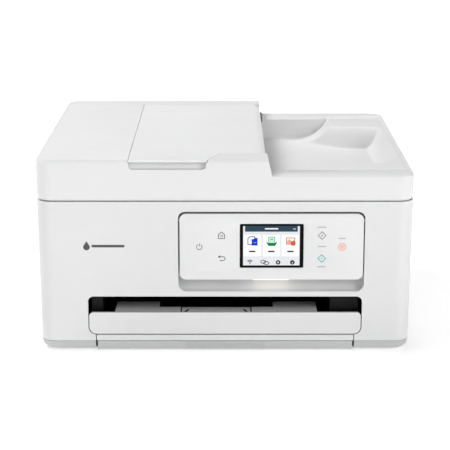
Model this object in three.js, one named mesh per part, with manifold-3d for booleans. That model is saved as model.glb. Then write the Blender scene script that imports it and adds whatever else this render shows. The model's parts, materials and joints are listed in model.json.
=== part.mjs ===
// All-in-one inkjet printer with a sheet feeder on its lid, a tilting touch panel, a paper cassette
// and an output tray. Millimetres, +Z up, the front faces -Y, the origin is on the standing surface
// under the middle of the case.
import * as THREE from 'three';
import { mergeVertices } from 'three/addons/utils/BufferGeometryUtils.js';
import Module from 'manifold-3d';

const wasm = await Module();
wasm.setup();

// ---------------------------------------------------------------- driving dimensions
const HALF_W = 188;            // half width at the lid
const HALF_D = 179.5;          // half depth
const HEIGHT = 197;            // top of the sheet feeder
const RIM_Z = 181.5;           // rim of the document output well
const LID_Z = 155.8;           // underside of the lid
const BODY_TOP_Z = 154.9;      // top of the case
const BASE_TOP_Z = 10.8;       // top of the grey base band
const BASE_Z = 1.5;            // underside of the base pan, on the feet
const CORNER_R = 16;           // plan radius of the case
const SIDE_DRAFT = 1.6;        // how much narrower each side is at the base than at the lid
const WALL = 2.6;              // case wall
const GAP = 0.4;               // clearance between neighbouring pieces
const CASSETTE_GAP = 0.8;      // clearance at each side of the cassette's front
const PAPER_X = -9;            // middle of the paper path

// control panel
const PANEL = { x0: -45.3, x1: 138.0, z0: 75.1, z1: 142.8, r: 6.5 };
const PANEL_THICK = 2.6;
const RECESS = { x0: -46.8, x1: 139.2, z0: 62.8, z1: 144.9, r: 7 };
const RECESS_Y = -164.5;       // back wall of the panel recess
const PANEL_AXIS = { y: -174.8, z: 135.8 };
const SCREEN = { x0: 14.9, x1: 78.0, z0: 87.6, z1: 132.3 };
const SENSOR_R = 5.3;          // touch sensor pads behind the panel
const LEFT_KEYS = [[-25.6, 108.9], [-3.5, 120.7], [-3.5, 97.0]];
const RIGHT_KEYS = [[96.5, 120.7], [96.5, 97.0], [116.6, 108.9]];

// paper bay
const SLOT = { half: 137.7, z0: 17.5, z1: 57.5 };
const BAY = { x0: -123.5, x1: 106, floor: 31.5, ceiling: 58.2, back: -62 };
const CASSETTE_HALF = 129.7;
const SHELF_TOP = 40.4;

// document feeder
const FEEDER_X = 41;           // right end of the feeder block
const TRAY_LEFT = -95.5;
const TRAY_BACK = 148.9;
const TRAY_FRONT = -144;
const TRAY_AXIS = { x: 36, z: 190.5 };
const WELL = { floor: 159, y0: -150.5, y1: 135, rampStart: 74, rampEnd: 124 };

// paper drive
const MODULE = 1.5;
const WHEEL_TEETH = 38;
const PINION_TEETH = 10;
const FEED_AXIS = { y: 28, z: 47 };
const EXIT_AXIS = { y: -44, z: 47 };
const GEAR_X = [-168, -160];
const WHEEL_R = MODULE * WHEEL_TEETH / 2;
const PINION_R = MODULE * PINION_TEETH / 2;
const DRIVE_DISTANCE = WHEEL_R + PINION_R;

// ---------------------------------------------------------------- colours
const finish = (color, roughness = 0.55, metalness = 0) =>
  new THREE.MeshStandardMaterial({ color, roughness, metalness });
const WHITE = finish(0xe9e9e8);
const PANEL_WHITE = finish(0xeeeeed, 0.45);
const BASE_GREY = finish(0xc4c4c4);
const DARK = finish(0x1b1b1c, 0.6);
const BLACK_GLOSS = finish(0x070708, 0.15);
const INNER_GREY = finish(0x55575a, 0.6);
const STEEL = finish(0xb4b7ba, 0.35, 1);
const RUBBER = finish(0x2a2a2b, 0.85);
const GLASS = finish(0xbfd2d0, 0.05);
const GEAR_NYLON = finish(0xdadad2, 0.5);
const BOARD_GREEN = finish(0x1e6b3c, 0.5);
const PAD_WHITE = finish(0xf4f4f2, 0.9);
const LIGHT = finish(0xfff6dc, 0.4);

// ---------------------------------------------------------------- solid helpers
const toSolid = (source) => {
  const geometry = source.index ? source.clone() : source;
  for (const name of Object.keys(geometry.attributes)) {
    if (name !== 'position') geometry.deleteAttribute(name);
  }
  const merged = mergeVertices(geometry, 1e-4);
  return new wasm.Manifold(new wasm.Mesh({
    numProp: 3,
    vertProperties: new Float32Array(merged.attributes.position.array),
    triVerts: new Uint32Array(merged.index.array),
  }));
};

const join = (...solids) => solids.reduce((sum, next) => sum.add(next));
const cut = (solid, ...tools) => tools.reduce((rest, tool) => rest.subtract(tool), solid);

const box = (x0, x1, y0, y1, z0, z1) => {
  const geometry = new THREE.BoxGeometry(x1 - x0, y1 - y0, z1 - z0);
  geometry.translate((x0 + x1) / 2, (y0 + y1) / 2, (z0 + z1) / 2);
  return toSolid(geometry);
};

// A cylinder from low to high along an axis. The centre is (y, z), (x, z) or (x, y) for axis x, y or z.
const cylinder = (axis, radius, low, high, centreA, centreB, sides = 20) => {
  const geometry = new THREE.CylinderGeometry(radius, radius, high - low, sides);
  const middle = (low + high) / 2;
  if (axis === 'x') geometry.rotateZ(Math.PI / 2).translate(middle, centreA, centreB);
  if (axis === 'y') geometry.translate(centreA, middle, centreB);
  if (axis === 'z') geometry.rotateX(Math.PI / 2).translate(centreA, centreB, middle);
  return toSolid(geometry);
};

const extrude = (shape, depth, curveSegments) =>
  new THREE.ExtrudeGeometry(shape, { depth, bevelEnabled: false, curveSegments });

// Extrusions of an outline drawn in (x, z), (y, z) or (x, y).
const alongY = (shape, y0, y1, segments = 5) =>
  toSolid(extrude(shape, y1 - y0, segments).rotateX(Math.PI / 2).translate(0, y1, 0));
const alongX = (shape, x0, x1, segments = 5) => {
  const turn = new THREE.Matrix4().makeBasis(
    new THREE.Vector3(0, 1, 0), new THREE.Vector3(0, 0, 1), new THREE.Vector3(1, 0, 0));
  return toSolid(extrude(shape, x1 - x0, segments).applyMatrix4(turn).translate(x0, 0, 0));
};
const alongZ = (shape, z0, z1, segments = 5) =>
  toSolid(extrude(shape, z1 - z0, segments).translate(0, 0, z0));

const outline = (points) => new THREE.Shape(points.map(([a, b]) => new THREE.Vector2(a, b)));

const roundedRect = (a0, a1, b0, b1, lowR, highR = lowR) => {
  const shape = new THREE.Shape();
  shape.moveTo(a0 + lowR, b0);
  shape.lineTo(a1 - lowR, b0);
  shape.absarc(a1 - lowR, b0 + lowR, lowR, -Math.PI / 2, 0);
  shape.lineTo(a1, b1 - highR);
  shape.absarc(a1 - highR, b1 - highR, highR, 0, Math.PI / 2);
  shape.lineTo(a0 + highR, b1);
  shape.absarc(a0 + highR, b1 - highR, highR, Math.PI / 2, Math.PI);
  shape.lineTo(a0, b0 + lowR);
  shape.absarc(a0 + lowR, b0 + lowR, lowR, Math.PI, Math.PI * 1.5);
  return shape;
};

// A closed skin through stacked rings that hold the same number of points, lowest ring first.
const skinRings = (rings) => {
  const count = rings[0].length;
  const positions = rings.flat(2);
  const faces = [];
  for (let level = 0; level < rings.length - 1; level += 1) {
    for (let i = 0; i < count; i += 1) {
      const a = level * count + i;
      const b = level * count + (i + 1) % count;
      faces.push(a, b, b + count, a, b + count, a + count);
    }
  }
  const top = (rings.length - 1) * count;
  for (let i = 1; i < count - 1; i += 1) {
    faces.push(0, i + 1, i);
    faces.push(top, top + i, top + i + 1);
  }
  const geometry = new THREE.BufferGeometry();
  geometry.setAttribute('position', new THREE.Float32BufferAttribute(positions, 3));
  geometry.setIndex(faces);
  return toSolid(geometry);
};

// Plan sections {z, w, d, r}: half width, half depth and corner radius at a height.
const CORNER_STEPS = 5;
const loft = (sections) => skinRings(sections.map(({ z, w, d, r }) => {
  const ring = [];
  const corners = [[w - r, d - r], [-(w - r), d - r], [-(w - r), -(d - r)], [w - r, -(d - r)]];
  corners.forEach(([cx, cy], quarter) => {
    for (let i = 0; i <= CORNER_STEPS; i += 1) {
      const angle = (quarter + i / CORNER_STEPS) * Math.PI / 2;
      ring.push([cx + r * Math.cos(angle), cy + r * Math.sin(angle), z]);
    }
  });
  return ring;
}));

// A block between a low rectangle and a high one: each is [x0, x1, y0, y1, z].
const taperedBlock = (low, high) => skinRings([low, high].map(([x0, x1, y0, y1, z]) => [
  [x0, y0, z], [x1, y0, z], [x1, y1, z], [x0, y1, z],
]));

// ---------------------------------------------------------------- scene graph
const group = new THREE.Group();
const place = (name, solid, material) => {
  const raw = solid.getMesh();
  const geometry = new THREE.BufferGeometry();
  geometry.setAttribute('position', new THREE.BufferAttribute(new Float32Array(raw.vertProperties), 3));
  geometry.setIndex(new THREE.BufferAttribute(new Uint32Array(raw.triVerts), 1));
  geometry.computeVertexNormals();
  const mesh = new THREE.Mesh(geometry, material);
  mesh.name = name;
  group.add(mesh);
};

// ---------------------------------------------------------------- base pan and feet
const FOOT = { x: 150, y: 140, r: 7, top: 2.1 };
const footPlaces = [[-1, -1], [1, -1], [-1, 1], [1, 1]].map(([sx, sy]) => [sx * FOOT.x, sy * FOOT.y]);

const makeBasePan = () => {
  const baseW = HALF_W - SIDE_DRAFT;
  const outside = loft([
    { z: BASE_Z, w: baseW - 7.5, d: HALF_D - 6, r: 12 },
    { z: 2.6, w: baseW - 3.6, d: HALF_D - 3.0, r: 14 },
    { z: 5.4, w: baseW - 1.2, d: HALF_D - 0.9, r: 15.4 },
    { z: BASE_TOP_Z, w: baseW, d: HALF_D, r: CORNER_R },
  ]);
  const floorZ = 3.5;
  const inside = loft([
    { z: floorZ, w: baseW - 6, d: HALF_D - 5.6, r: 11 },
    { z: BASE_TOP_Z + 1, w: baseW - WALL, d: HALF_D - WALL, r: CORNER_R - WALL },
  ]);
  const cassetteWay = box(-CASSETTE_HALF - CASSETTE_GAP, CASSETTE_HALF + CASSETTE_GAP, -HALF_D - 1,
    -171.6, 0, 12);
  const gripWay = box(-47, 47, -HALF_D - 1, -160, 0, 12);
  const footPockets = footPlaces.map(([x, y]) => cylinder('z', FOOT.r + GAP, 1, FOOT.top + GAP, x, y));
  return cut(outside, inside, cassetteWay, gripWay, ...footPockets);
};
place('base_pan', makeBasePan(), BASE_GREY);
const FOOT_NAMES = ['foot_front_left', 'foot_front_right', 'foot_rear_left', 'foot_rear_right'];
footPlaces.forEach(([x, y], i) => {
  place(FOOT_NAMES[i], cylinder('z', FOOT.r, 0, FOOT.top, x, y), RUBBER);
});

// ---------------------------------------------------------------- outer case
const REAR_OPENING = { half: 165.3, z0: 13.7, z1: 149.3 };

// The cove under the panel: a quarter ellipse from the front face up to the recess's back wall.
const recessProfile = () => {
  const shape = new THREE.Shape();
  const front = -HALF_D;
  const depth = RECESS_Y - front;
  const rise = 15;
  shape.moveTo(front - 2, RECESS.z0 + 0.01);
  shape.lineTo(front, RECESS.z0 + 0.01);
  shape.absellipse(front, RECESS.z0 + rise, depth, rise, -Math.PI / 2, 0);
  shape.lineTo(RECESS_Y, RECESS.z1 + 2);
  shape.lineTo(front - 2, RECESS.z1 + 2);
  return shape;
};

const panelRecess = () => {
  const mouth = alongY(roundedRect(RECESS.x0, RECESS.x1, RECESS.z0, RECESS.z1, 8, RECESS.r),
    -HALF_D - 1, RECESS_Y);
  return mouth.intersect(alongX(recessProfile(), RECESS.x0 - 1, RECESS.x1 + 1, 7));
};

const makeOuterCase = () => {
  const caseZ = BASE_TOP_Z + 0.3;
  const tube = (inset, z0, z1) => loft([
    { z: z0, w: HALF_W - SIDE_DRAFT - inset, d: HALF_D - inset, r: CORNER_R - inset },
    { z: z1, w: HALF_W - inset, d: HALF_D - inset, r: CORNER_R - inset },
  ]);
  const walls = cut(tube(0, caseZ, BODY_TOP_Z), tube(WALL, caseZ - 1, BODY_TOP_Z + 1));
  const recessBox = box(RECESS.x0 - WALL, RECESS.x1 + WALL, -HALF_D + 0.5, RECESS_Y + 2,
    RECESS.z0 - 2.4, RECESS.z1 + 2.4);
  const hingeBores = cylinder('x', 1.75, RECESS.x0 - 6, RECESS.x1 + 6, PANEL_AXIS.y, PANEL_AXIS.z, 12);
  const slot = alongY(roundedRect(-SLOT.half, SLOT.half, SLOT.z0, SLOT.z1, 7.8, 5.7),
    -HALF_D - 1, -170);
  const cassetteMouth = box(-CASSETTE_HALF - CASSETTE_GAP, CASSETTE_HALF + CASSETTE_GAP, -HALF_D - 1,
    -170, 8, 26);
  const rearOpening = box(-REAR_OPENING.half, REAR_OPENING.half, 170, HALF_D + 1,
    REAR_OPENING.z0, REAR_OPENING.z1);
  return cut(join(walls, recessBox), panelRecess(), hingeBores, slot, cassetteMouth, rearOpening);
};
place('outer_case', makeOuterCase(), WHITE);

// ---------------------------------------------------------------- rear panel and its cover
const REAR_COVER = { half: 110, z0: 45, z1: 120 };
const INLET = { x0: 128, x1: 152, z0: 24, z1: 40 };
const USB = { x0: -158.6, x1: -146.8, z0: 90, z1: 101 };
const REAR_Y = [177.3, 179.2];

const makeRearPanel = () => {
  const [y0, y1] = REAR_Y;
  const plate = box(-REAR_OPENING.half + GAP, REAR_OPENING.half - GAP, y0, y1,
    REAR_OPENING.z0 + GAP, REAR_OPENING.z1 - GAP);
  const window = (x0, x1, z0, z1) => box(x0 - GAP, x1 + GAP, y0 - 1, y1 + 1, z0 - GAP, z1 + GAP);
  const holes = [
    window(-REAR_COVER.half, REAR_COVER.half, REAR_COVER.z0, REAR_COVER.z1),
    window(INLET.x0, INLET.x1, INLET.z0, INLET.z1),
    window(USB.x0, USB.x1, USB.z0, USB.z1),
  ];
  const ventPitch = 6;
  for (let i = 0; i < 5; i += 1) {
    holes.push(box(-156, -124, y0 - 1, y1 + 1, 26 + i * ventPitch, 29 + i * ventPitch));
  }
  return cut(plate, ...holes);
};
place('rear_panel', makeRearPanel(), WHITE);

const makeRearCover = () => {
  const [y0, y1] = REAR_Y;
  const plate = box(-REAR_COVER.half, REAR_COVER.half, y0, y1, REAR_COVER.z0, REAR_COVER.z1);
  const ribProfile = outline([[178, 50], [178, 112], [166, 112], [161, 96], [160, 78], [166, 56]]);
  const ribs = [];
  for (let i = 0; i < 5; i += 1) {
    const x = -96 + i * 48;
    ribs.push(alongX(ribProfile, x - 1.2, x + 1.2));
  }
  const grip = box(-18, 18, y1 - 1.2, y1 + 1, 108, 115);
  return cut(join(plate, ...ribs), grip);
};
place('rear_cover', makeRearCover(), WHITE);

// ---------------------------------------------------------------- scanner
const GLASS_Z = [150.4, 152.6];
const PLATEN = { x0: -126, x1: 172, y0: -110, y1: 106 };
const FEEDER_GLASS = { x0: -152, x1: -138, y0: -110, y1: 106 };
const HINGE = { x: 120, halfWidth: 11, y: 175.5, z: 158.5 };

const makeScannerBezel = () => {
  const w = HALF_W - WALL - 0.6;
  const d = HALF_D - WALL - 0.6;
  const floorZ = 139;
  const topPlate = 152.9;
  const tub = loft([
    { z: floorZ, w, d, r: CORNER_R - WALL },
    { z: BODY_TOP_Z, w, d, r: CORNER_R - WALL },
  ]);
  const hollow = box(-w + 2.4, w - 2.4, -158, d - 6, floorZ + 1.6, topPlate);
  const windows = [PLATEN, FEEDER_GLASS].map((g) => box(g.x0, g.x1, g.y0, g.y1, topPlate - 1, 156));
  const recessRoom = box(RECESS.x0 - WALL - GAP, RECESS.x1 + WALL + GAP, -180, RECESS_Y + 2 + GAP,
    floorZ - 1, RECESS.z1 + 2.4 + GAP);
  const hingeRooms = [-1, 1].map((side) => box(
    side * HINGE.x - HINGE.halfWidth - 0.6, side * HINGE.x + HINGE.halfWidth + 0.6,
    171.6, 180, floorZ - 1, 156));
  return cut(tub, hollow, ...windows, recessRoom, ...hingeRooms);
};
place('scanner_bezel', makeScannerBezel(), WHITE);
[['platen_glass', PLATEN], ['feeder_scan_glass', FEEDER_GLASS]].forEach(([name, g]) => {
  place(name, box(g.x0 - 3, g.x1 + 3, g.y0 - 3, g.y1 + 3, ...GLASS_Z), GLASS);
});
place('scan_carriage', join(
  box(-156, -134, -116, 112, 141.6, 147.6),
  box(-148, -142, -112, 108, 147.6, 149.6)), DARK);

const makeLidHinge = (side) => {
  const x0 = side * HINGE.x - HINGE.halfWidth;
  const x1 = side * HINGE.x + HINGE.halfWidth;
  const blade = box(x0 + 3, x1 - 3, 172.6, 176, 118, HINGE.z);
  const foot = box(x0, x1, 172.6, 176, 118, 150);
  return join(blade, foot, cylinder('x', 2.4, x0 + 1, x1 - 1, HINGE.y, HINGE.z));
};
place('lid_hinge_left', makeLidHinge(-1), STEEL);
place('lid_hinge_right', makeLidHinge(1), STEEL);

// ---------------------------------------------------------------- paper bay liner
const makeBayLiner = () => {
  const side = SLOT.half - 2.9;
  const front = -168;
  return join(
    box(-side, side, -176.4, BAY.back, BAY.ceiling, BAY.ceiling + 1.6),
    box(-side, BAY.x0, front, BAY.back, BAY.floor - 1.5, BAY.ceiling),
    box(BAY.x1, side, front, BAY.back, BAY.floor - 1.5, BAY.ceiling),
    box(-side, side, -146, BAY.back, BAY.floor - 1.5, BAY.floor));
};
place('bay_liner', makeBayLiner(), DARK);

// ---------------------------------------------------------------- cassette
const CASSETTE = { half: 126.5, wall: 2, floor: 4.2, top: 16, front: -176, back: 134 };
const GRIP = { half: 43.2, top: 9.4 };
const BAND_HALF = CASSETTE_HALF - 1.1;

const makeCassetteTray = () => {
  const c = CASSETTE;
  const shell = box(-c.half, c.half, c.front, c.back, c.floor, c.top);
  const inside = box(-c.half + c.wall, c.half - c.wall, c.front + 3.5, c.back - c.wall, c.floor + 1.6, 20);
  const bandProfile = outline([
    [c.front + 0.5, 1.6], [c.front + 0.5, BASE_TOP_Z], [-HALF_D, BASE_TOP_Z],
    [-HALF_D + 0.9, 5.4], [-HALF_D + 3.0, 2.6], [c.front, 1.6],
  ]);
  const band = alongX(bandProfile, -BAND_HALF, BAND_HALF);
  const gripHousing = box(-GRIP.half - 2, GRIP.half + 2, -178, -163, c.floor, GRIP.top + 1.6);
  const gripPocket = box(-GRIP.half, GRIP.half, -176, -165, 0, GRIP.top);
  return cut(join(cut(shell, inside), band, gripHousing), gripPocket);
};
place('cassette_tray', makeCassetteTray(), BASE_GREY);
place('cassette_front', alongX(outline([
  [-HALF_D, BASE_TOP_Z + GAP], [-176.4, BASE_TOP_Z + GAP], [-176.4, 17.1], [-HALF_D, 17.1],
]), -CASSETTE_HALF, CASSETTE_HALF), WHITE);

const GUIDE_FLOOR = CASSETTE.floor + 1.6 + GAP;
const GUIDE_TOP = 15.2;
const LETTER_HALF = 108;
const makeSideGuide = (side) => {
  const face = PAPER_X + side * LETTER_HALF;
  const outer = face + side * 1.8;
  const inner = face - side * 17;
  const span = (a, b) => [Math.min(a, b), Math.max(a, b)];
  return join(
    box(...span(face, outer), -95, 30, GUIDE_FLOOR, GUIDE_TOP),
    box(...span(outer, inner), -60, 0, GUIDE_FLOOR, GUIDE_FLOOR + 1.2));
};
place('paper_guide_left', makeSideGuide(-1), INNER_GREY);
place('paper_guide_right', makeSideGuide(1), INNER_GREY);
place('paper_guide_rear', join(
  box(PAPER_X - 20, PAPER_X + 20, 108, 110, GUIDE_FLOOR, GUIDE_TOP),
  box(PAPER_X - 20, PAPER_X + 20, 92, 109, GUIDE_FLOOR, GUIDE_FLOOR + 1.2)), INNER_GREY);

// ---------------------------------------------------------------- output tray and its stop flap
const WING = { inner: 58, outer: 102, depth: 36 };      // distances from the middle of the paper path
const STOP_FLAP = { half: 34.6, y0: -176.2, y1: -159.5, thick: 1.8 };
const TRAY_FRONT_Y = -176.6;
const SHELF_BACK = -158.7;
const FLAP_GAP = 0.8;          // clearance at each end of the stop flap

const makeOutputTray = () => {
  const plate = alongY(roundedRect(-SLOT.half + GAP, SLOT.half - GAP, 17.9, 40.7, 7.4, 4.2),
    -HALF_D, TRAY_FRONT_Y);
  const shelf = box(PAPER_X - WING.inner - 1, PAPER_X + WING.inner + 1, TRAY_FRONT_Y - 0.5, SHELF_BACK,
    36.4, SHELF_TOP);
  const wings = [-1, 1].map((side) => {
    const a = PAPER_X + side * WING.inner;
    const b = PAPER_X + side * WING.outer;
    return box(Math.min(a, b), Math.max(a, b), TRAY_FRONT_Y - 0.5, TRAY_FRONT_Y + WING.depth,
      36.4, SHELF_TOP);
  });
  const rails = [-1, 1].map((side) => {
    const x = PAPER_X + side * 109;
    return box(x - 2, x + 2, TRAY_FRONT_Y - 0.5, -34, 23, 28.6);
  });
  const flapBed = box(PAPER_X - STOP_FLAP.half - FLAP_GAP, PAPER_X + STOP_FLAP.half + FLAP_GAP,
    STOP_FLAP.y0 - GAP, SHELF_BACK + 1, SHELF_TOP - STOP_FLAP.thick - GAP, 42);
  return cut(join(plate, shelf, ...wings, ...rails), flapBed);
};
place('output_tray', makeOutputTray(), WHITE);
place('stop_flap', box(PAPER_X - STOP_FLAP.half, PAPER_X + STOP_FLAP.half, STOP_FLAP.y0, STOP_FLAP.y1,
  SHELF_TOP - STOP_FLAP.thick, SHELF_TOP), WHITE);

// ---------------------------------------------------------------- control panel
const PANEL_BACK_Y = -HALF_D + PANEL_THICK;

const makePanelFront = () => {
  const plate = alongY(roundedRect(PANEL.x0, PANEL.x1, PANEL.z0, PANEL.z1, PANEL.r),
    -HALF_D, PANEL_BACK_Y);
  const screenHole = box(SCREEN.x0 - 0.3, SCREEN.x1 + 0.3, -HALF_D - 1, PANEL_BACK_Y + 1,
    SCREEN.z0 - 0.3, SCREEN.z1 + 0.3);
  return cut(plate, screenHole);
};
place('panel_front', makePanelFront(), PANEL_WHITE);

const makePanelBack = () => {
  const front = PANEL_BACK_Y + 0.3;
  const back = -168.4;
  const tub = alongY(roundedRect(PANEL.x0 + 0.8, PANEL.x1 - 0.8, PANEL.z0 + 0.8, PANEL.z1 - 0.8, 5.8),
    front, back);
  const hollow = alongY(roundedRect(PANEL.x0 + 3.2, PANEL.x1 - 3.2, PANEL.z0 + 3.2, PANEL.z1 - 3.2, 4),
    front - 1, back - 1.6);
  const pins = [[RECESS.x0 - 1.8, PANEL.x0 + 2], [PANEL.x1 - 2, RECESS.x1 + 1.8]].map(([x0, x1]) =>
    cylinder('x', 1.4, x0, x1, PANEL_AXIS.y, PANEL_AXIS.z, 12));
  return join(cut(tub, hollow), ...pins);
};
place('panel_back', makePanelBack(), WHITE);

place('touch_screen', alongY(roundedRect(SCREEN.x0, SCREEN.x1, SCREEN.z0, SCREEN.z1, 1.2),
  -HALF_D + 0.2, -173.8), BLACK_GLOSS);
place('status_light', box(28, 64, -176.2, -170.4, 73.8, 75.5), LIGHT);

// A circuit board whose raised pads sense a finger through the panel.
const makeKeyBoard = (keys, x0, x1) => {
  const front = PANEL_BACK_Y + 0.5;
  const board = box(x0, x1, front + 0.5, front + 1.7, 90, 128);
  const pads = keys.map(([x, z]) => cylinder('y', SENSOR_R, front, front + 0.6, x, z));
  return join(board, ...pads);
};
place('key_board_left', makeKeyBoard(LEFT_KEYS, -36, 6), BOARD_GREEN);
place('key_board_right', makeKeyBoard(RIGHT_KEYS, 86, 127), BOARD_GREEN);

// ---------------------------------------------------------------- lid
const LID_WALL = 2.4;
const FEEDER_FLOOR = 187;      // floor under the document tray
const COVER_FLOOR = 185;       // floor under the feeder cover
const LID_PLATE_Z = [LID_Z + 0.1, LID_Z + 1.4];

const lidBlock = (inset, top, topInset) => loft([
  { z: LID_Z - (inset ? 2 : 0), w: HALF_W - 1.8 - inset, d: HALF_D - 1.8 - inset, r: 14.5 - inset },
  { z: 161, w: HALF_W - inset, d: HALF_D - inset, r: CORNER_R - inset },
  { z: top - topInset, w: HALF_W - inset, d: HALF_D - inset, r: CORNER_R - inset },
  { z: top, w: HALF_W - inset - topInset, d: HALF_D - inset - topInset, r: CORNER_R - inset - topInset },
]);

// The output well: a ramp that rises to the rim, and a finger scoop through the rim's raised part.
const rampRadius = () => {
  const run = WELL.rampEnd - WELL.rampStart;
  const rise = RIM_Z - WELL.floor;
  return (run * run + rise * rise) / (2 * rise);
};
const wellRamp = (wall) => {
  const radius = rampRadius();
  const shape = new THREE.Shape();
  const left = FEEDER_X - wall * 1.5;
  const sweep = Math.asin((WELL.rampEnd - WELL.rampStart) / radius);
  shape.moveTo(left, WELL.floor - wall);
  shape.lineTo(WELL.rampStart, WELL.floor - wall);
  shape.absarc(WELL.rampStart, WELL.floor + radius, radius + wall, -Math.PI / 2, -Math.PI / 2 + sweep);
  shape.lineTo(WELL.rampEnd + wall, RIM_Z + 20);
  shape.lineTo(left, RIM_Z + 20);
  return alongY(shape, WELL.y0 - wall, WELL.y1 + wall, 10);
};
const SCOOP_LOW = [
  [60, -148], [98, -147], [112, -116], [142, -104], [156, -100], [160, -90],
  [160, 66], [156, 74], [140, 78], [122, 82], [104, 94], [90, 112], [60, 132],
];
const SCOOP_HIGH = [
  [60, -150], [111, -150], [129, -121], [159, -117], [172, -112], [178.5, -100],
  [178.5, 74], [173, 86], [150, 92], [129, 96], [112, 105], [100, 116], [60, 134],
];
const wellScoop = (wall) => skinRings([[SCOOP_LOW, WELL.floor - wall], [SCOOP_HIGH, RIM_Z + 0.1]].map(
  ([ring, z]) => ring.map(([x, y]) => [x + Math.sign(x - 100) * wall, y + Math.sign(y) * wall, z])));

const coverOutline = (grow) => {
  const x0 = -184.8 - grow;
  const y0 = -176.4 - grow;
  const r = 13.5 + grow;
  const shape = new THREE.Shape();
  shape.moveTo(x0 + r, y0);
  shape.lineTo(TRAY_LEFT - GAP, y0);
  shape.lineTo(TRAY_LEFT - GAP, TRAY_BACK + grow);
  shape.lineTo(x0, TRAY_BACK + grow);
  shape.lineTo(x0, y0 + r);
  shape.absarc(x0 + r, y0 + r, r, Math.PI, Math.PI * 1.5);
  return shape;
};

const trayOutline = (grow) => outline([
  [TRAY_LEFT - grow, -HALF_D + 0.2 - grow * 4],
  [-18.4 + grow, -HALF_D + 0.2 - grow * 4],
  [-4.3 + grow, TRAY_FRONT - grow],
  [FEEDER_X - 0.1 + grow * 4, TRAY_FRONT - grow],
  [FEEDER_X - 0.1 + grow * 4, TRAY_BACK + grow],
  [TRAY_LEFT - grow, TRAY_BACK + grow],
]);

const makeLidShell = () => {
  const feederPlan = box(-HALF_W - 1, FEEDER_X, -HALF_D - 1, HALF_D + 1, LID_Z, HEIGHT + 1);
  const ear = taperedBlock(
    [FEEDER_X - 4, 47.5, -190, TRAY_FRONT - GAP, RIM_Z - 4],
    [FEEDER_X - 4, 42, -190, TRAY_FRONT - GAP, HEIGHT + 1]);
  const feeder = lidBlock(0, HEIGHT, 2.2).intersect(join(feederPlan, ear));
  const outside = join(lidBlock(0, RIM_Z, 1.2), feeder);

  const lowHollow = lidBlock(LID_WALL, RIM_Z - 2.6, 0.5);
  const highHollow = lidBlock(LID_WALL, COVER_FLOOR - 2, 0.5)
    .intersect(box(-HALF_W, 22, -HALF_D, HALF_D, LID_Z - 3, HEIGHT));
  const hollow = cut(join(lowHollow, highHollow), wellRamp(1.5), wellScoop(1.5));

  const coverRoom = alongZ(coverOutline(0.4), COVER_FLOOR, HEIGHT + 2);
  const sharedEdge = box(TRAY_LEFT - 2, TRAY_LEFT + 2, TRAY_FRONT, TRAY_BACK + GAP, FEEDER_FLOOR, 199);
  const trayRoom = alongZ(trayOutline(0.4), 194.2, HEIGHT + 2);
  const swing = 9.6;
  const underTray = box(TRAY_LEFT - 1, TRAY_AXIS.x - swing + 0.1, TRAY_FRONT - GAP, TRAY_BACK + GAP,
    FEEDER_FLOOR, 196);
  const hingeRoom = box(TRAY_AXIS.x - swing, FEEDER_X + 9, TRAY_FRONT - GAP, TRAY_BACK + GAP,
    TRAY_AXIS.z - swing, 196);
  const notchFloor = outline([[-181, 186], [-179.3, 187.4], [-176.4, 188.2], [-172.4, 194.4], [-172.4, 210],
    [-181, 210]]);
  const fingerNotch = alongY(roundedRect(-95.6, -18.4, 187.3, 210, 5, 0.1), -HALF_D - 1, -171)
    .intersect(alongX(notchFloor, -100, -10));
  const rollerPocket = box(-142, -118, -36, 36, 168, COVER_FLOOR + 1);
  const exitThroat = box(10, FEEDER_X + 8, -122, 122, 162, 172);
  const scanThroat = box(-160, -132, -122, 122, LID_Z - 3, 170);
  const hingeRooms = [-1, 1].map((side) => box(
    side * HINGE.x - HINGE.halfWidth - 1, side * HINGE.x + HINGE.halfWidth + 1,
    171, 181, LID_Z - 1, HINGE.z + 4));
  return cut(outside, hollow, wellRamp(0).intersect(box(FEEDER_X, 200, -180, 180, 150, 190)),
    wellScoop(0), coverRoom, sharedEdge, trayRoom, underTray, hingeRoom, fingerNotch,
    rollerPocket, exitThroat, scanThroat, ...hingeRooms);
};
place('lid_shell', makeLidShell(), WHITE);

const makeLidBase = () => {
  const w = HALF_W - 1.8 - LID_WALL - 0.6;
  const d = HALF_D - 1.8 - LID_WALL - 0.6;
  const plate = loft([
    { z: LID_PLATE_Z[0], w, d, r: 11 },
    { z: LID_PLATE_Z[1], w, d, r: 11 },
  ]);
  const g = FEEDER_GLASS;
  const hingeRooms = [-1, 1].map((side) => box(
    side * HINGE.x - HINGE.halfWidth - 1, side * HINGE.x + HINGE.halfWidth + 1, 168, 181, 150, 160));
  return cut(plate, box(g.x0, g.x1, g.y0, g.y1, 150, 160), ...hingeRooms);
};
place('lid_base', makeLidBase(), WHITE);
place('platen_pad', box(PLATEN.x0 + 2, PLATEN.x1 - 2, PLATEN.y0 + 2, PLATEN.y1 - 2,
  GLASS_Z[1] + GAP, LID_PLATE_Z[0] - 0.3), PAD_WHITE);

// ---------------------------------------------------------------- feeder cover, roller and tray
const COVER_Z = 194.8;
place('feeder_cover', alongZ(coverOutline(0), COVER_Z, HEIGHT), WHITE);
place('feeder_roller', join(
  cylinder('y', 7.6, -24, 24, -130, 186.2, 18),
  cylinder('y', 2.5, -34, 34, -130, 186.2, 10)), RUBBER);

const makeDocumentExitRoller = () => {
  const tyres = [-80, 0, 80].map((y) => cylinder('y', 3.6, y - 8, y + 8, 22, 167, 16));
  return join(cylinder('y', 2, -118, 118, 22, 167, 12), ...tyres);
};
place('document_exit_roller', makeDocumentExitRoller(), RUBBER);

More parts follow.
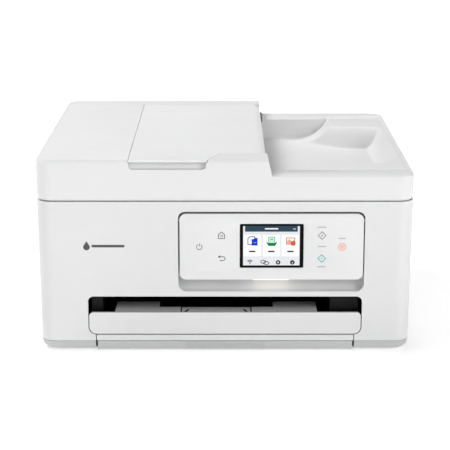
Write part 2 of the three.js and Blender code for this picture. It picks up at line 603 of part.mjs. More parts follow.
const makeDocumentTray = () => {
  const right = FEEDER_X - 0.1;
  const plate = alongZ(trayOutline(0), COVER_Z, HEIGHT);
  const knuckle = box(28, right, TRAY_FRONT, TRAY_BACK, 191.6, HEIGHT);
  const flange = box(right - 2.4, right, TRAY_FRONT, TRAY_BACK, 183.4, 196);
  const bevel = alongY(outline([[33, HEIGHT + 0.01], [right + 0.2, 193.4], [60, 193.4], [60, 199], [33, 199]]),
    -200, 200);
  return cut(join(plate, knuckle, flange), bevel);
};
place('document_tray', makeDocumentTray(), WHITE);

const makeDocumentGuide = (side) => {
  const face = side * LETTER_HALF;
  const outer = face + side * 1.8;
  const inner = face - side * 18;
  const span = (a, b) => [Math.min(a, b), Math.max(a, b)];
  return join(
    box(-76, -14, ...span(face, outer), 188.2, 194.4),
    box(-70, -20, ...span(outer, inner), 193.2, 194.4));
};
place('document_guide_front', makeDocumentGuide(-1), WHITE);
place('document_guide_rear', makeDocumentGuide(1), WHITE);

// ---------------------------------------------------------------- chassis and rail
const CHASSIS_SIDE = 177.5;
const RAIL = { x: 176, y0: 62, y1: 64, z0: 66, z1: 116 };
const PULLEY = { r: 6, z: 95, left: -165, right: 168, y0: 57.4, y1: 60.6 };

const makeChassis = () => {
  const deck = cut(
    box(-CHASSIS_SIDE - 1, CHASSIS_SIDE + 1, -50, 165, 17.6, 19.4),
    box(-27, 27, 34, 104, 16, 21),
    box(GEAR_X[0] - 3, GEAR_X[1] + 3, -78, 62, 16, 21));
  const sides = [-1, 1].map((side) => {
    const a = side * CHASSIS_SIDE;
    const b = side * (CHASSIS_SIDE + 3);
    return box(Math.min(a, b), Math.max(a, b), -60, 165, 17.6, 118);
  });
  const bores = [FEED_AXIS, EXIT_AXIS].map(({ y, z }) => cylinder('x', 3.4, -190, 190, y, z, 16));
  return cut(join(deck, ...sides), ...bores);
};
place('chassis', makeChassis(), DARK);

const makeCarriageRail = () => {
  const plate = box(-RAIL.x, RAIL.x, RAIL.y0, RAIL.y1, RAIL.z0, RAIL.z1);
  const lip = box(-RAIL.x, RAIL.x, RAIL.y0 - 6, RAIL.y0 + 1, RAIL.z1 - 1.5, RAIL.z1);
  const holes = [PULLEY.left, PULLEY.right].map((x) =>
    cylinder('y', 2.1, RAIL.y0 - 3, RAIL.y1 + 3, x, PULLEY.z, 12));
  return cut(join(plate, lip), ...holes);
};
place('carriage_rail', makeCarriageRail(), STEEL);

const makePlaten = () => {
  const x0 = PAPER_X - 120;
  const x1 = PAPER_X + 120;
  const bed = box(x0, x1, -34, 14, 40, 47);
  const ribs = [];
  for (let x = x0 + 4; x <= x1 - 4; x += 29) {
    ribs.push(box(x - 1, x + 1, -32, 12, 46.5, 51.5));
  }
  return join(bed, ...ribs);
};
place('print_platen', makePlaten(), DARK);

// ---------------------------------------------------------------- ink carriage
const CARRIAGE = { x0: 78, x1: 162, y0: -52, y1: 44, z0: 54.5, z1: 104 };
const BAYS = [[81, 118.6], [121.4, 159]];

const makeCarriage = () => {
  const c = CARRIAGE;
  const body = box(c.x0, c.x1, c.y0, c.y1, c.z0, c.z1);
  const rooms = BAYS.map(([x0, x1]) => box(x0, x1, c.y0 - 1, 32, 60, c.z1 + 1));
  const nozzleWindows = BAYS.map(([x0, x1]) => box(x0 + 10, x1 - 10, -22, 4, 50, 61));
  const bearing = box(98, 142, 43, 55.4, 86, 103);
  return cut(join(body, bearing), ...rooms, ...nozzleWindows);
};
place('carriage', makeCarriage(), INNER_GREY);

const makeCartridge = ([x0, x1]) => {
  const side = 0.5;
  const tank = alongX(outline([
    [-50, 62], [30, 62], [30, 98], [-30, 98], [-50, 86],
  ]), x0 + side, x1 - side);
  const head = box(x0 + 10.6, x1 - 10.6, -21, 3, 55.5, 63);
  return join(tank, head);
};
place('black_cartridge', makeCartridge(BAYS[1]), DARK);
place('colour_cartridge', makeCartridge(BAYS[0]), DARK);

const makePulley = (x) => join(
  cylinder('y', PULLEY.r, PULLEY.y0 - 0.2, PULLEY.y1 + 0.2, x, PULLEY.z),
  cylinder('y', 1.6, PULLEY.y1, 65.4, x, PULLEY.z, 12));
place('motor_pulley', makePulley(PULLEY.left), GEAR_NYLON);
place('idler_pulley', makePulley(PULLEY.right), GEAR_NYLON);

const beltOutline = (radius) => {
  const shape = new THREE.Shape();
  shape.moveTo(PULLEY.left, PULLEY.z - radius);
  shape.lineTo(PULLEY.right, PULLEY.z - radius);
  shape.absarc(PULLEY.right, PULLEY.z, radius, -Math.PI / 2, Math.PI / 2);
  shape.lineTo(PULLEY.left, PULLEY.z + radius);
  shape.absarc(PULLEY.left, PULLEY.z, radius, Math.PI / 2, Math.PI * 1.5);
  return shape;
};
place('drive_belt', cut(
  alongY(beltOutline(PULLEY.r + 1.5), PULLEY.y0, PULLEY.y1, 8),
  alongY(beltOutline(PULLEY.r + 0.35), PULLEY.y0 - 1, PULLEY.y1 + 1, 8)), RUBBER);
place('carriage_motor', join(
  cylinder('y', 13, 66, 94, PULLEY.left + 2, PULLEY.z),
  cylinder('y', 5, 93, 97, PULLEY.left + 2, PULLEY.z, 14)), STEEL);

// ---------------------------------------------------------------- rollers and gears
const PITCH_ANGLE = 2 * Math.PI / WHEEL_TEETH;
const gearOutline = (teeth, phase) => {
  const radius = MODULE * teeth / 2;
  const tip = radius + 0.75 * MODULE;
  const root = radius - 1.05 * MODULE;
  const pitch = 2 * Math.PI / teeth;
  const points = [];
  for (let tooth = 0; tooth < teeth; tooth += 1) {
    const middle = phase + tooth * pitch;
    for (const [reach, share] of [[root, -0.34], [tip, -0.12], [tip, 0.12], [root, 0.34]]) {
      const angle = middle + share * pitch;
      points.push([reach * Math.cos(angle), reach * Math.sin(angle)]);
    }
  }
  return outline(points);
};
const gear = (teeth, phase, y, z) =>
  alongX(gearOutline(teeth, phase), ...GEAR_X).translate([0, y, z]);

const makeExitRoller = () => {
  const { y, z } = EXIT_AXIS;
  const tyres = [];
  for (let i = -2; i <= 2; i += 1) {
    const x = PAPER_X + i * 44;
    tyres.push(cylinder('x', 5, x - 5, x + 5, y, z, 16));
  }
  return join(cylinder('x', 3, -179.5, 179.5, y, z, 14), ...tyres);
};
place('exit_roller', makeExitRoller(), DARK);
place('feed_roller', join(
  cylinder('x', 3, -179.5, 179.5, FEED_AXIS.y, FEED_AXIS.z, 14),
  cylinder('x', 6, PAPER_X - 116, PAPER_X + 116, FEED_AXIS.y, FEED_AXIS.z)), RUBBER);
[['feed_gear', FEED_AXIS], ['exit_gear', EXIT_AXIS]].forEach(([name, { y, z }]) => {
  place(name, cut(gear(WHEEL_TEETH, PITCH_ANGLE / 2, y, z), cylinder('x', 3.4, -190, -100, y, z, 14)),
    GEAR_NYLON);
});
place('idler_gear', join(
  gear(PINION_TEETH, 0, (FEED_AXIS.y + EXIT_AXIS.y) / 2, FEED_AXIS.z),
  cylinder('x', 2.5, -177, GEAR_X[1], (FEED_AXIS.y + EXIT_AXIS.y) / 2, FEED_AXIS.z, 12)), GEAR_NYLON);

// The motor sits three teeth below the line through the rollers, where a wheel gap meets a pinion tooth.
const MOTOR_ANGLE = -3 * PITCH_ANGLE;
const MOTOR_AXIS = {
  y: FEED_AXIS.y + DRIVE_DISTANCE * Math.cos(MOTOR_ANGLE),
  z: FEED_AXIS.z + DRIVE_DISTANCE * Math.sin(MOTOR_ANGLE),
};
place('feed_pinion', join(
  gear(PINION_TEETH, MOTOR_ANGLE + Math.PI, MOTOR_AXIS.y, MOTOR_AXIS.z),
  cylinder('x', 1.6, GEAR_X[1] - 1, GEAR_X[1] + 2.4, MOTOR_AXIS.y, MOTOR_AXIS.z, 12)), GEAR_NYLON);
place('feed_motor', cylinder('x', 9, -157, -130, MOTOR_AXIS.y, MOTOR_AXIS.z), STEEL);

// ---------------------------------------------------------------- paper pickup
const PICKUP = { pivotY: 88, pivotZ: 36, rollerY: 50, rollerZ: 28.5 };
const makePickupArm = () => {
  const p = PICKUP;
  const slope = Math.atan2(p.pivotZ - p.rollerZ, p.pivotY - p.rollerY);
  const length = Math.hypot(p.pivotY - p.rollerY, p.pivotZ - p.rollerZ);
  const bar = alongX(roundedRect(-5, length + 5, -5, 5, 4.9), PAPER_X - 5, PAPER_X + 1)
    .rotate([slope * 180 / Math.PI, 0, 0]).translate([0, p.rollerY, p.rollerZ]);
  const shaft = cylinder('x', 3, PAPER_X - 14, PAPER_X + 30, p.pivotY, p.pivotZ, 14);
  return cut(join(bar, shaft), cylinder('x', 2.7, -40, 20, p.rollerY, p.rollerZ, 14));
};
place('pickup_arm', makePickupArm(), DARK);
place('pickup_roller', join(
  cylinder('x', 9, PAPER_X + 1.6, PAPER_X + 21, PICKUP.rollerY, PICKUP.rollerZ),
  cylinder('x', 2.3, PAPER_X - 7, PAPER_X + 2, PICKUP.rollerY, PICKUP.rollerZ, 14)), RUBBER);

// ---------------------------------------------------------------- electronics
const makeMainBoard = () => {
  const board = box(-160, -158.4, 100, 168, 64, 136);
  const connector = cut(
    box(USB.x0, USB.x1, 162, 179, USB.z0, USB.z1),
    box(USB.x0 + 1.4, USB.x1 - 1.4, 168, 180, USB.z0 + 1.4, USB.z1 - 1.4));
  const chips = [
    box(-158.6, -155.6, 112, 128, 108, 124),
    box(-158.6, -156.2, 136, 146, 112, 122),
    box(-158.6, -149.6, 106, 118, 72, 80),
    box(-158.6, -147.6, 126, 134, 70, 78),
  ];
  return join(board, connector, ...chips);
};
place('main_board', makeMainBoard(), BOARD_GREEN);

const makePowerSupply = () => cut(
  join(
    box(120, 174, 104, 162, 23, 70),
    box(INLET.x0, INLET.x1, 160, 179, INLET.z0, INLET.z1)),
  alongY(roundedRect(INLET.x0 + 3, INLET.x1 - 3, INLET.z0 + 3, INLET.z1 - 3, 4.9), 166, 180));
place('power_supply', makePowerSupply(), DARK);

export default group;
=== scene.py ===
"""An all-in-one inkjet printer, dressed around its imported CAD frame.

The scene is in metres, +Z up, and the front faces -Y. Shapes are written in millimetres and turned
into metres by MM.
"""
import json
import math

import bmesh
import bpy
import numpy as np
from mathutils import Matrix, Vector


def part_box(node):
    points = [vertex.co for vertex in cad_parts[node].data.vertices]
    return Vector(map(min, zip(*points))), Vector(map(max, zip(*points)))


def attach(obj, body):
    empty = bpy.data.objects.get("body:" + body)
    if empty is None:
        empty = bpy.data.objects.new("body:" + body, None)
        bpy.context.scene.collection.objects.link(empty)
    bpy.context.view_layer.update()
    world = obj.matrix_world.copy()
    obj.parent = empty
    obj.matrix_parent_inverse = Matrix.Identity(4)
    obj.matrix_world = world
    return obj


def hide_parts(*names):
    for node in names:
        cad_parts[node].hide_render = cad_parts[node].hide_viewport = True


MM = 0.001

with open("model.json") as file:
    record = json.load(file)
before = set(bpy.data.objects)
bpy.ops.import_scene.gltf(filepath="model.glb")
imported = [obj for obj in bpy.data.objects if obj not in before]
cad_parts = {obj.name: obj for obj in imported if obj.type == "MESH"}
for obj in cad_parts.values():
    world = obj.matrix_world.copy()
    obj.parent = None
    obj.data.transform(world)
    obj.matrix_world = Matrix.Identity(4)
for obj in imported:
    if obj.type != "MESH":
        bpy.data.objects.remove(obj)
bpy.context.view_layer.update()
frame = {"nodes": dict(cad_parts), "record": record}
record = frame["record"]
SLOT_OF = {row["node"]: row["material_slot"] for row in record["subparts"]}
BODY_OF = {node: body for body, nodes in record["behaviour"]["bodies"].items() for node in nodes}
scene = bpy.context.scene


# ---------------------------------------------------------------- materials
class Nodes:
    """A material's node tree, with its noise textures laid out in metres."""

    def __init__(self, name):
        self.material = bpy.data.materials.new(name)
        self.material.use_nodes = True
        self.tree = self.material.node_tree
        self.shader = self.tree.nodes["Principled BSDF"]
        self.place = self.add("ShaderNodeTexCoord").outputs["Object"]

    def add(self, kind, **values):
        node = self.tree.nodes.new(kind)
        for key, value in values.items():
            setattr(node, key, value)
        return node

    def link(self, source, target):
        self.tree.links.new(source, target)

    def set(self, **values):
        for key, value in values.items():
            self.shader.inputs[key.replace("_", " ")].default_value = value

    def noise(self, size, detail=2.0, roughness=0.5, stretch=None):
        """A noise whose features are about size metres across."""
        texture = self.add("ShaderNodeTexNoise")
        texture.inputs["Scale"].default_value = 1.0 / size
        texture.inputs["Detail"].default_value = detail
        texture.inputs["Roughness"].default_value = roughness
        vector = self.place
        if stretch:
            mapping = self.add("ShaderNodeMapping")
            mapping.inputs["Scale"].default_value = stretch
            self.link(vector, mapping.inputs["Vector"])
            vector = mapping.outputs["Vector"]
        self.link(vector, texture.inputs["Vector"])
        return texture.outputs["Fac"]

    def ramp(self, value, low, high, start=0.3, end=0.7):
        """value mapped from start..end to low..high."""
        node = self.add("ShaderNodeMapRange")
        node.inputs["From Min"].default_value = start
        node.inputs["From Max"].default_value = end
        node.inputs["To Min"].default_value = low
        node.inputs["To Max"].default_value = high
        self.link(value, node.inputs["Value"])
        return node.outputs["Result"]

    def colours(self, value, low, high, start=0.3, end=0.7):
        """The base colour runs from low to high as value runs from start to end."""
        node = self.add("ShaderNodeValToRGB")
        node.color_ramp.elements[0].position = start
        node.color_ramp.elements[0].color = (*low, 1)
        node.color_ramp.elements[1].position = end
        node.color_ramp.elements[1].color = (*high, 1)
        self.link(value, node.inputs["Fac"])
        self.link(node.outputs["Color"], self.shader.inputs["Base Color"])

    def rough(self, value, low, high):
        self.link(self.ramp(value, low, high), self.shader.inputs["Roughness"])

    def bump(self, value, height, strength=1.0, under=None):
        node = self.add("ShaderNodeBump")
        node.inputs["Strength"].default_value = strength
        node.inputs["Distance"].default_value = height
        self.link(value, node.inputs["Height"])
        if under:
            self.link(under, node.inputs["Normal"])
        self.link(node.outputs["Normal"], self.shader.inputs["Normal"])
        return node.outputs["Normal"]


def shade(colour, factor):
    return tuple(min(1.0, c * factor) for c in colour)


def moulded(name, colour, rough=(0.46, 0.58), grain=0.0007, height=0.000012, drift=0.02, specular=0.25):
    """Moulded plastic: a fine spark-eroded grain, faint flow marks and a slow drift in tone."""
    n = Nodes(name)
    n.set(Specular_IOR_Level=specular)
    n.colours(n.noise(0.09, detail=4), shade(colour, 1 - drift), shade(colour, 1 + drift * 0.5))
    n.rough(n.noise(0.012, detail=5), *rough)
    fine = n.bump(n.noise(grain, detail=3, roughness=0.6), height)
    n.bump(n.noise(0.03, detail=1), height * 4, strength=0.5, under=fine)
    return n.material


def gloss(name, colour, rough=(0.05, 0.12), specular=0.3):
    """Polished plastic or hard-coated film with faint smears in its gloss."""
    n = Nodes(name)
    n.set(Specular_IOR_Level=specular)
    n.colours(n.noise(0.04, detail=3), shade(colour, 0.9), shade(colour, 1.1))
    n.rough(n.noise(0.015, detail=4, stretch=(1, 1, 2.4)), *rough)
    n.bump(n.noise(0.01, detail=1), 0.000004, strength=0.4)
    return n.material


def steel(name, colour, brush=(1, 60, 60)):
    """Zinc-plated sheet with a rolled, lengthwise brush."""
    n = Nodes(name)
    n.set(Metallic=1.0)
    lines = n.noise(0.02, detail=5, stretch=brush)
    n.colours(lines, shade(colour, 0.85), shade(colour, 1.08))
    n.rough(n.noise(0.01, detail=4), 0.28, 0.42)
    n.bump(lines, 0.000006)
    return n.material


def rubber(name, colour, rough=(0.72, 0.88)):
    """Soft ground rubber with a dusty bloom."""
    n = Nodes(name)
    n.set(Specular_IOR_Level=0.25)
    n.colours(n.noise(0.006, detail=5), colour, shade(colour, 1.5))
    n.rough(n.noise(0.003, detail=4), *rough)
    n.bump(n.noise(0.0005, detail=4, roughness=0.7), 0.00004)
    return n.material


def clear_glass(name):
    """Float glass with a faint green tint and cleaning smears."""
    n = Nodes(name)
    n.set(Base_Color=(0.86, 0.95, 0.92, 1), Transmission_Weight=1.0, IOR=1.46)
    n.rough(n.noise(0.05, detail=3), 0.0, 0.03)
    return n.material


def circuit(name):
    """Green solder mask over copper tracks."""
    n = Nodes(name)
    n.set(Specular_IOR_Level=0.5)
    tracks = n.add("ShaderNodeTexBrick", offset=0.4)
    tracks.inputs["Scale"].default_value = 320
    tracks.inputs["Mortar Size"].default_value = 0.035
    n.link(n.place, tracks.inputs["Vector"])
    n.colours(tracks.outputs["Fac"], (0.012, 0.11, 0.045), (0.05, 0.22, 0.10), 0.2, 0.8)
    n.rough(n.noise(0.004, detail=3), 0.28, 0.42)
    n.bump(tracks.outputs["Fac"], 0.00004)
    return n.material


def lit(name, colour, strength, mottle=0.03):
    """A surface that gives off light, evened out by a diffuser behind it."""
    n = Nodes(name)
    n.set(Emission_Color=(*colour, 1), Roughness=0.3, Specular_IOR_Level=0.03)
    n.colours(n.noise(0.004, detail=3), shade(colour, 0.06), shade(colour, 0.07))
    even = n.ramp(n.noise(0.02, detail=2), strength * (1 - mottle), strength * (1 + mottle))
    n.link(even, n.shader.inputs["Emission Strength"])
    return n.material


def printed(name, colour, rough=(0.4, 0.5)):
    """Pad-printed ink: an even film with slightly uneven cover."""
    n = Nodes(name)
    n.set(Specular_IOR_Level=0.3)
    n.colours(n.noise(0.0012, detail=3), shade(colour, 0.93), shade(colour, 1.07))
    n.rough(n.noise(0.002, detail=2), *rough)
    return n.material


def foam_sheet(name, colour):
    """The white face sheet over the platen's foam."""
    n = Nodes(name)
    n.set(Specular_IOR_Level=0.2, Sheen_Weight=0.15)
    n.colours(n.noise(0.05, detail=4), shade(colour, 0.97), colour)
    n.rough(n.noise(0.01, detail=3), 0.6, 0.75)
    n.bump(n.noise(0.0009, detail=3), 0.00003)
    return n.material


MATERIAL = {
    "case_white": moulded("case_white", (0.715, 0.716, 0.718)),
    "lid_white": moulded("lid_white", (0.73, 0.731, 0.733)),
    "panel_white": moulded("panel_white", (0.745, 0.746, 0.748), rough=(0.34, 0.42), grain=0.0005,
                           height=0.000006),
    "base_grey": moulded("base_grey", (0.50, 0.504, 0.508), rough=(0.5, 0.62), height=0.00002),
    "inner_black": moulded("inner_black", (0.006, 0.006, 0.0065), rough=(0.45, 0.6), drift=0.1,
                           specular=0.2),
    "inner_grey": moulded("inner_grey", (0.12, 0.122, 0.126), rough=(0.45, 0.6), drift=0.06),
    "gear_nylon": moulded("gear_nylon", (0.72, 0.71, 0.64), rough=(0.35, 0.45), grain=0.002,
                          height=0.000008),
    "screen_black": gloss("screen_black", (0.004, 0.004, 0.005), specular=0.04),
    "steel": steel("steel", (0.62, 0.63, 0.65)),
    "roller_rubber": rubber("roller_rubber", (0.022, 0.022, 0.024)),
    "foot_rubber": rubber("foot_rubber", (0.08, 0.08, 0.082)),
    "scan_glass": clear_glass("scan_glass"),
    "board_green": circuit("board_green"),
    "pad_white": foam_sheet("pad_white", (0.9, 0.9, 0.89)),
    "status_light": lit("status_light", (1.0, 0.97, 0.88), 1.6),
}
# A darker copy of the base grey for the cassette's grip face: painted shade of the recess there.
GRIP_SHADE_GREY = moulded("grip_shade_grey", (0.46, 0.464, 0.468), rough=(0.5, 0.62), height=0.00002)
# A lighter copy of the lid's white for the feeder cover and document tray: painted light that makes their
# tops brighter than the well's floor.
FEEDER_LIT_WHITE = moulded("feeder_lit_white", (0.775, 0.776, 0.778))


# ---------------------------------------------------------------- mesh helpers
WELD = 0.002
OUTLINE_WELD = 0.0001
FLAT_DEGREES = 0.4


def new_piece(name, mesh, material, body, smooth_angle=35):
    piece = bpy.data.objects.new(name, mesh)
    scene.collection.objects.link(piece)
    mesh.materials.clear()
    mesh.materials.append(material)
    mesh.shade_smooth()
    mesh.set_sharp_from_angle(angle=math.radians(smooth_angle))
    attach(piece, body)
    return piece


def round_edges(piece, radius, segments=2):
    bevel = piece.modifiers.new("edges", "BEVEL")
    bevel.limit_method = "WEIGHT"
    bevel.width = radius * MM
    bevel.segments = segments
    bevel.use_clamp_overlap = True
    bevel.harden_normals = True
    flat = piece.modifiers.new("flat_faces", "WEIGHTED_NORMAL")
    flat.keep_sharp = True
    flat.mode = "FACE_AREA"


def rounded(node, radius=0.4, segments=2, material=None, crease=30, weight=None, trim=None):
    """A copy of a CAD piece with whole flat faces and rounded edges, which stands for the piece.

    weight gives how strongly the edge at a point in millimetres is rounded, and trim moves a point.
    """
    bm = bmesh.new()
    bm.from_mesh(frame["nodes"][node].data)
    bmesh.ops.remove_doubles(bm, verts=bm.verts[:], dist=WELD * MM)
    for vert in bm.verts if trim else []:
        vert.co = trim(vert.co / MM) * MM
    flat = math.radians(FLAT_DEGREES)
    bmesh.ops.dissolve_limit(bm, angle_limit=flat, verts=bm.verts[:], edges=bm.edges[:])
    layer = bm.edges.layers.float.new("bevel_weight_edge")
    for edge in bm.edges:
        if len(edge.link_faces) == 2 and edge.calc_face_angle(0.0) > math.radians(crease):
            middle = (edge.verts[0].co + edge.verts[1].co) / (2 * MM)
            edge[layer] = weight(middle) if weight else 1.0
    mesh = bpy.data.meshes.new(node + "_shape")
    bm.to_mesh(mesh)
    bm.free()
    for attribute in ("custom_normal", "sharp_edge", "sharp_face"):
        if attribute in mesh.attributes:
            mesh.attributes.remove(mesh.attributes[attribute])
    slot = SLOT_OF[node]
    piece = new_piece(node + "_body", mesh, material or MATERIAL[slot], BODY_OF[node], smooth_angle=crease)
    round_edges(piece, radius, segments)
    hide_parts(node)
    return piece


def loop_rounded(a0, a1, b0, b1, r, steps=10):
    """A rounded rectangle as a list of points, counter-clockwise, in millimetres."""
    corners = [(a1 - r, b0 + r, -90), (a1 - r, b1 - r, 0), (a0 + r, b1 - r, 90), (a0 + r, b0 + r, 180)]
    points = []
    for ca, cb, start in corners:
        for i in range(steps + 1):
            angle = math.radians(start + 90 * i / steps)
            points.append((ca + r * math.cos(angle), cb + r * math.sin(angle)))
    return points


def loop_circle(a, b, r, steps=48):
    """A circle around (a, b) as a list of points, counter-clockwise."""
    turns = [2 * math.pi * i / steps for i in range(steps)]
    return [(a + r * math.cos(t), b + r * math.sin(t)) for t in turns]


def facing_front(a, b, depth):
    """An outline drawn in x and z, with its depth along y."""
    return Vector((a, depth, b)) * MM


def facing_up(a, b, depth):
    """An outline drawn in x and y, with its depth along z."""
    return Vector((a, b, depth)) * MM


def plate_mesh(name, loops, low, high, bevel, toward):
    """A closed plate between depths low and high with rounded edges; loops after the first are holes."""
    curve = bpy.data.curves.new(name + "_outline", "CURVE")
    curve.dimensions = "2D"
    curve.fill_mode = "BOTH"
    curve.extrude = (high - low) / 2 - bevel
    curve.bevel_depth = bevel
    curve.bevel_resolution = 2 if bevel > 0.05 else 0
    curve.offset = -bevel
    for loop in loops:
        spline = curve.splines.new("POLY")
        spline.points.add(len(loop) - 1)
        for point, (a, b) in zip(spline.points, loop):
            point.co = (a, b, 0, 1)
        spline.use_cyclic_u = True
    holder = bpy.data.objects.new(name + "_outline", curve)
    scene.collection.objects.link(holder)
    bpy.context.view_layer.update()
    source = holder.evaluated_get(bpy.context.evaluated_depsgraph_get()).to_mesh()
    bm = bmesh.new()
    bm.from_mesh(source)
    bpy.data.objects.remove(holder)
    bpy.data.curves.remove(curve)
    bmesh.ops.remove_doubles(bm, verts=bm.verts[:], dist=OUTLINE_WELD)
    middle = (low + high) / 2
    for vert in bm.verts:
        vert.co = toward(vert.co.x, vert.co.y, middle + vert.co.z)
    bmesh.ops.recalc_face_normals(bm, faces=bm.faces[:])
    mesh = bpy.data.meshes.new(name + "_shape")
    bm.to_mesh(mesh)
    bm.free()
    return mesh


def plate(name, loops, low, high, material, body, bevel=0.0, toward=facing_front):
    return new_piece(name, plate_mesh(name, loops, low, high, bevel, toward), material, body)


# ---------------------------------------------------------------- marks drawn as outlines
def arc(a, b, r, start, end, steps=28):
    """Points along an arc around (a, b), from start to end degrees."""
    turns = [math.radians(start + (end - start) * i / steps) for i in range(steps + 1)]
    return [(a + r * math.cos(t), b + r * math.sin(t)) for t in turns]


def bar(a, b, width, height):
    """A dash with round ends around (a, b)."""
    return loop_rounded(a - width / 2, a + width / 2, b - height / 2, b + height / 2, height * 0.45, 3)


def stroke(points, width):
    """The outline of a line of even width through the points."""
    left, right = [], []
    for i, (a, b) in enumerate(points):
        before = points[max(i - 1, 0)]
        after = points[min(i + 1, len(points) - 1)]
        along = Vector((after[0] - before[0], after[1] - before[1])).normalized()
        left.append((a - along.y * width / 2, b + along.x * width / 2))
        right.append((a + along.y * width / 2, b - along.x * width / 2))
    return left + right[::-1]


def band(points, width):
    """A closed line of even width, as its outer and inner outlines."""
    outer, inner = [], []
    count = len(points)
    for i, (a, b) in enumerate(points):
        into = Vector((a - points[i - 1][0], b - points[i - 1][1])).normalized()
        out = Vector((points[(i + 1) % count][0] - a, points[(i + 1) % count][1] - b)).normalized()
        normal = (Vector((-into.y, into.x)) + Vector((-out.y, out.x))).normalized()
        reach = width / 2 / max(0.3, normal.dot(Vector((-into.y, into.x))))
        outer.append((a - normal.x * reach, b - normal.y * reach))
        inner.append((a + normal.x * reach, b + normal.y * reach))
    return [outer, inner]


# ---------------------------------------------------------------- shells and mechanism from the frame
OUTER_X = 183
OUTER_Y = 174
CASE_RIM_Z = 150
PLATE_END_X = 126
PLATE_END_GAP = 0.5
PLATE_FOOT_Z = 27
PLATE_FRONT_Y = -176
PLATE_FOOT_GAP = 0.35


def on_outside(point):
    return abs(point.x) > OUTER_X or abs(point.y) > OUTER_Y


def lid_edge_weight(middle):
    """The lid's outer edges are rounded fully and its inner ones a little."""
    return 1.0 if on_outside(middle) else 0.3


def case_edge_weight(middle):
    """The case's outer rim is rounded fully and its other edges a little."""
    return 1.0 if on_outside(middle) and middle.z > CASE_RIM_Z else 0.25


def tray_trim(point):
    """The tray's front plate a little narrower and shorter, so that its gap to the case shows."""
    side = PLATE_END_GAP * (point.x > PLATE_END_X) - PLATE_END_GAP * (point.x < -PLATE_END_X)
    lift = PLATE_FOOT_GAP if point.z < PLATE_FOOT_Z and point.y < PLATE_FRONT_Y else 0
    return Vector((point.x - side, point.y, point.z + lift))


SPECIAL = ("panel_front", "touch_screen", "platen_pad", "status_light", "lid_shell", "feeder_cover",
           "document_tray", "outer_case", "output_tray")
for node in SLOT_OF:
    if node not in SPECIAL:
        rounded(node, radius=0.35)
rounded("touch_screen", radius=0.25)
rounded("status_light", radius=0.3)
rounded("document_tray", radius=0.35, material=FEEDER_LIT_WHITE)
rounded("outer_case", radius=1.4, segments=3, weight=case_edge_weight)
rounded("output_tray", radius=0.45, trim=tray_trim)


# ---------------------------------------------------------------- output well of the lid
FLOOR_Z = 159.0
RIM_RISE = 22.5
# The plan of the well's block: a rectangle with a notch at its front left corner.
PLAN_LEFT, PLAN_RIGHT = 41.2, 182.0
PLAN_FRONT, PLAN_BACK = -153.5, 138.0
NOTCH_RIGHT, NOTCH_BACK = 48.5, -143.8
PLAN_STEP = 1.25
BLOCK_BOTTOM_Z = 157.5
WINDOW_TOP_Z = 190.0
SLACK = 0.1
# Walls reach a little over the rim, which cuts them off; outside them the height is OVER_RIM.
WALL_TOP = RIM_RISE + 1.5
OVER_RIM = RIM_RISE + 6
BACK_WALL_Y = 135.0
BACK_WALL_RUN = 9.0
FRONT_WALL_Y = -150.5
FRONT_WALL_RUN = 5.0
RAMP_START = 80.0
RAMP_RADIUS = 48.0
RAMP_TOP = RIM_RISE + 1.2
# In front of SHOULDER_Y the ramp turns into a straight shoulder that meets the rim at SHOULDER_TOP.
SHOULDER_Y = -100
SHOULDER_BLEND = 15
SHOULDER_TOP = 128.0
SHOULDER_SLOPE = 0.5
# At OPEN_X the scoop runs level into the well's floor, so its edge has no wall there.
OPEN_X = 60
# The scoop's upper edge, with the run of its wall from the rim down to the floor at each point.
SCOOP_EDGE = [
    (60, -150, 6), (96, -150, 8), (104, -133, 10), (113, -125, 12), (129, -118.5, 12), (159, -117, 13),
    (172, -112, 15), (178.5, -100, 17), (178.5, 74, 17), (176.5, 82, 18), (171, 88, 20), (162, 91, 21),
    (150, 92, 22), (138, 93.2, 21), (129, 96, 19), (120, 100, 17), (112, 105.5, 15), (105, 111, 13),
    (97, 117, 11), (86, 125, 9), (60, 134, 8),
]


def smooth_min(a, b, blend):
    """The smaller of a and b, rounded over where they are less than blend apart."""
    mix = np.clip(0.5 + 0.5 * (b - a) / blend, 0, 1)
    return b + (a - b) * mix - blend * mix * (1 - mix)


def smooth_step(share):
    share = np.clip(share, 0, 1)
    return share**2 * (3 - 2 * share)


def wall_height(distance, run, power):
    """Height over the floor, a distance in from the top edge, of a wall whose foot curves out over run."""
    share = np.clip(distance / run, 0, 1)
    return np.where(distance < 0, OVER_RIM, WALL_TOP * (1 - share) ** power)


def corners_cut(points):
    """A closed outline with each corner cut twice, which turns it into a smooth curve."""
    for _ in range(2):
        ahead = points[1:] + points[:1]
        points = [
            tuple(a + share * (b - a) for a, b in zip(start, end))
            for start, end in zip(points, ahead)
            for share in (0.25, 0.75)
        ]
    return points


def rolled_height(distance, run):
    """Height over the floor of a wall that rolls over from its top edge and is steepest near its foot."""
    share = np.clip(distance / run, 0, 1)
    return WALL_TOP * (1 - share**2.2) ** 1.3


def scoop_height(x, y):
    """Height of the scoop's walls; the back wall rolls over and the others curve out at their foot."""
    inside = np.zeros(x.shape, bool)
    height = np.zeros(x.shape)
    edge = corners_cut(SCOOP_EDGE)
    for i, (x0, y0, run0) in enumerate(edge):
        x1, y1, run1 = edge[(i + 1) % len(edge)]
        crosses = (y0 > y) != (y1 > y)
        along_x, along_y = x1 - x0, y1 - y0
        crossing_x = x0 + (y - y0) * along_x / (along_y or 1e-9)
        inside ^= crosses & (x < crossing_x)
        if x0 <= OPEN_X and x1 <= OPEN_X:
            continue
        length = math.hypot(along_x, along_y)
        share = np.clip(((x - x0) * along_x + (y - y0) * along_y) / length**2, 0, 1)
        distance = np.hypot(x - x0 - share * along_x, y - y0 - share * along_y)
        run = run0 + share * (run1 - run0)
        hollow = wall_height(distance, run, power=1.9)
        back_share = max(0.0, -along_x) / length
        height = np.maximum(height, hollow + back_share * (rolled_height(distance, run) - hollow))
    return np.where(inside, height, OVER_RIM)


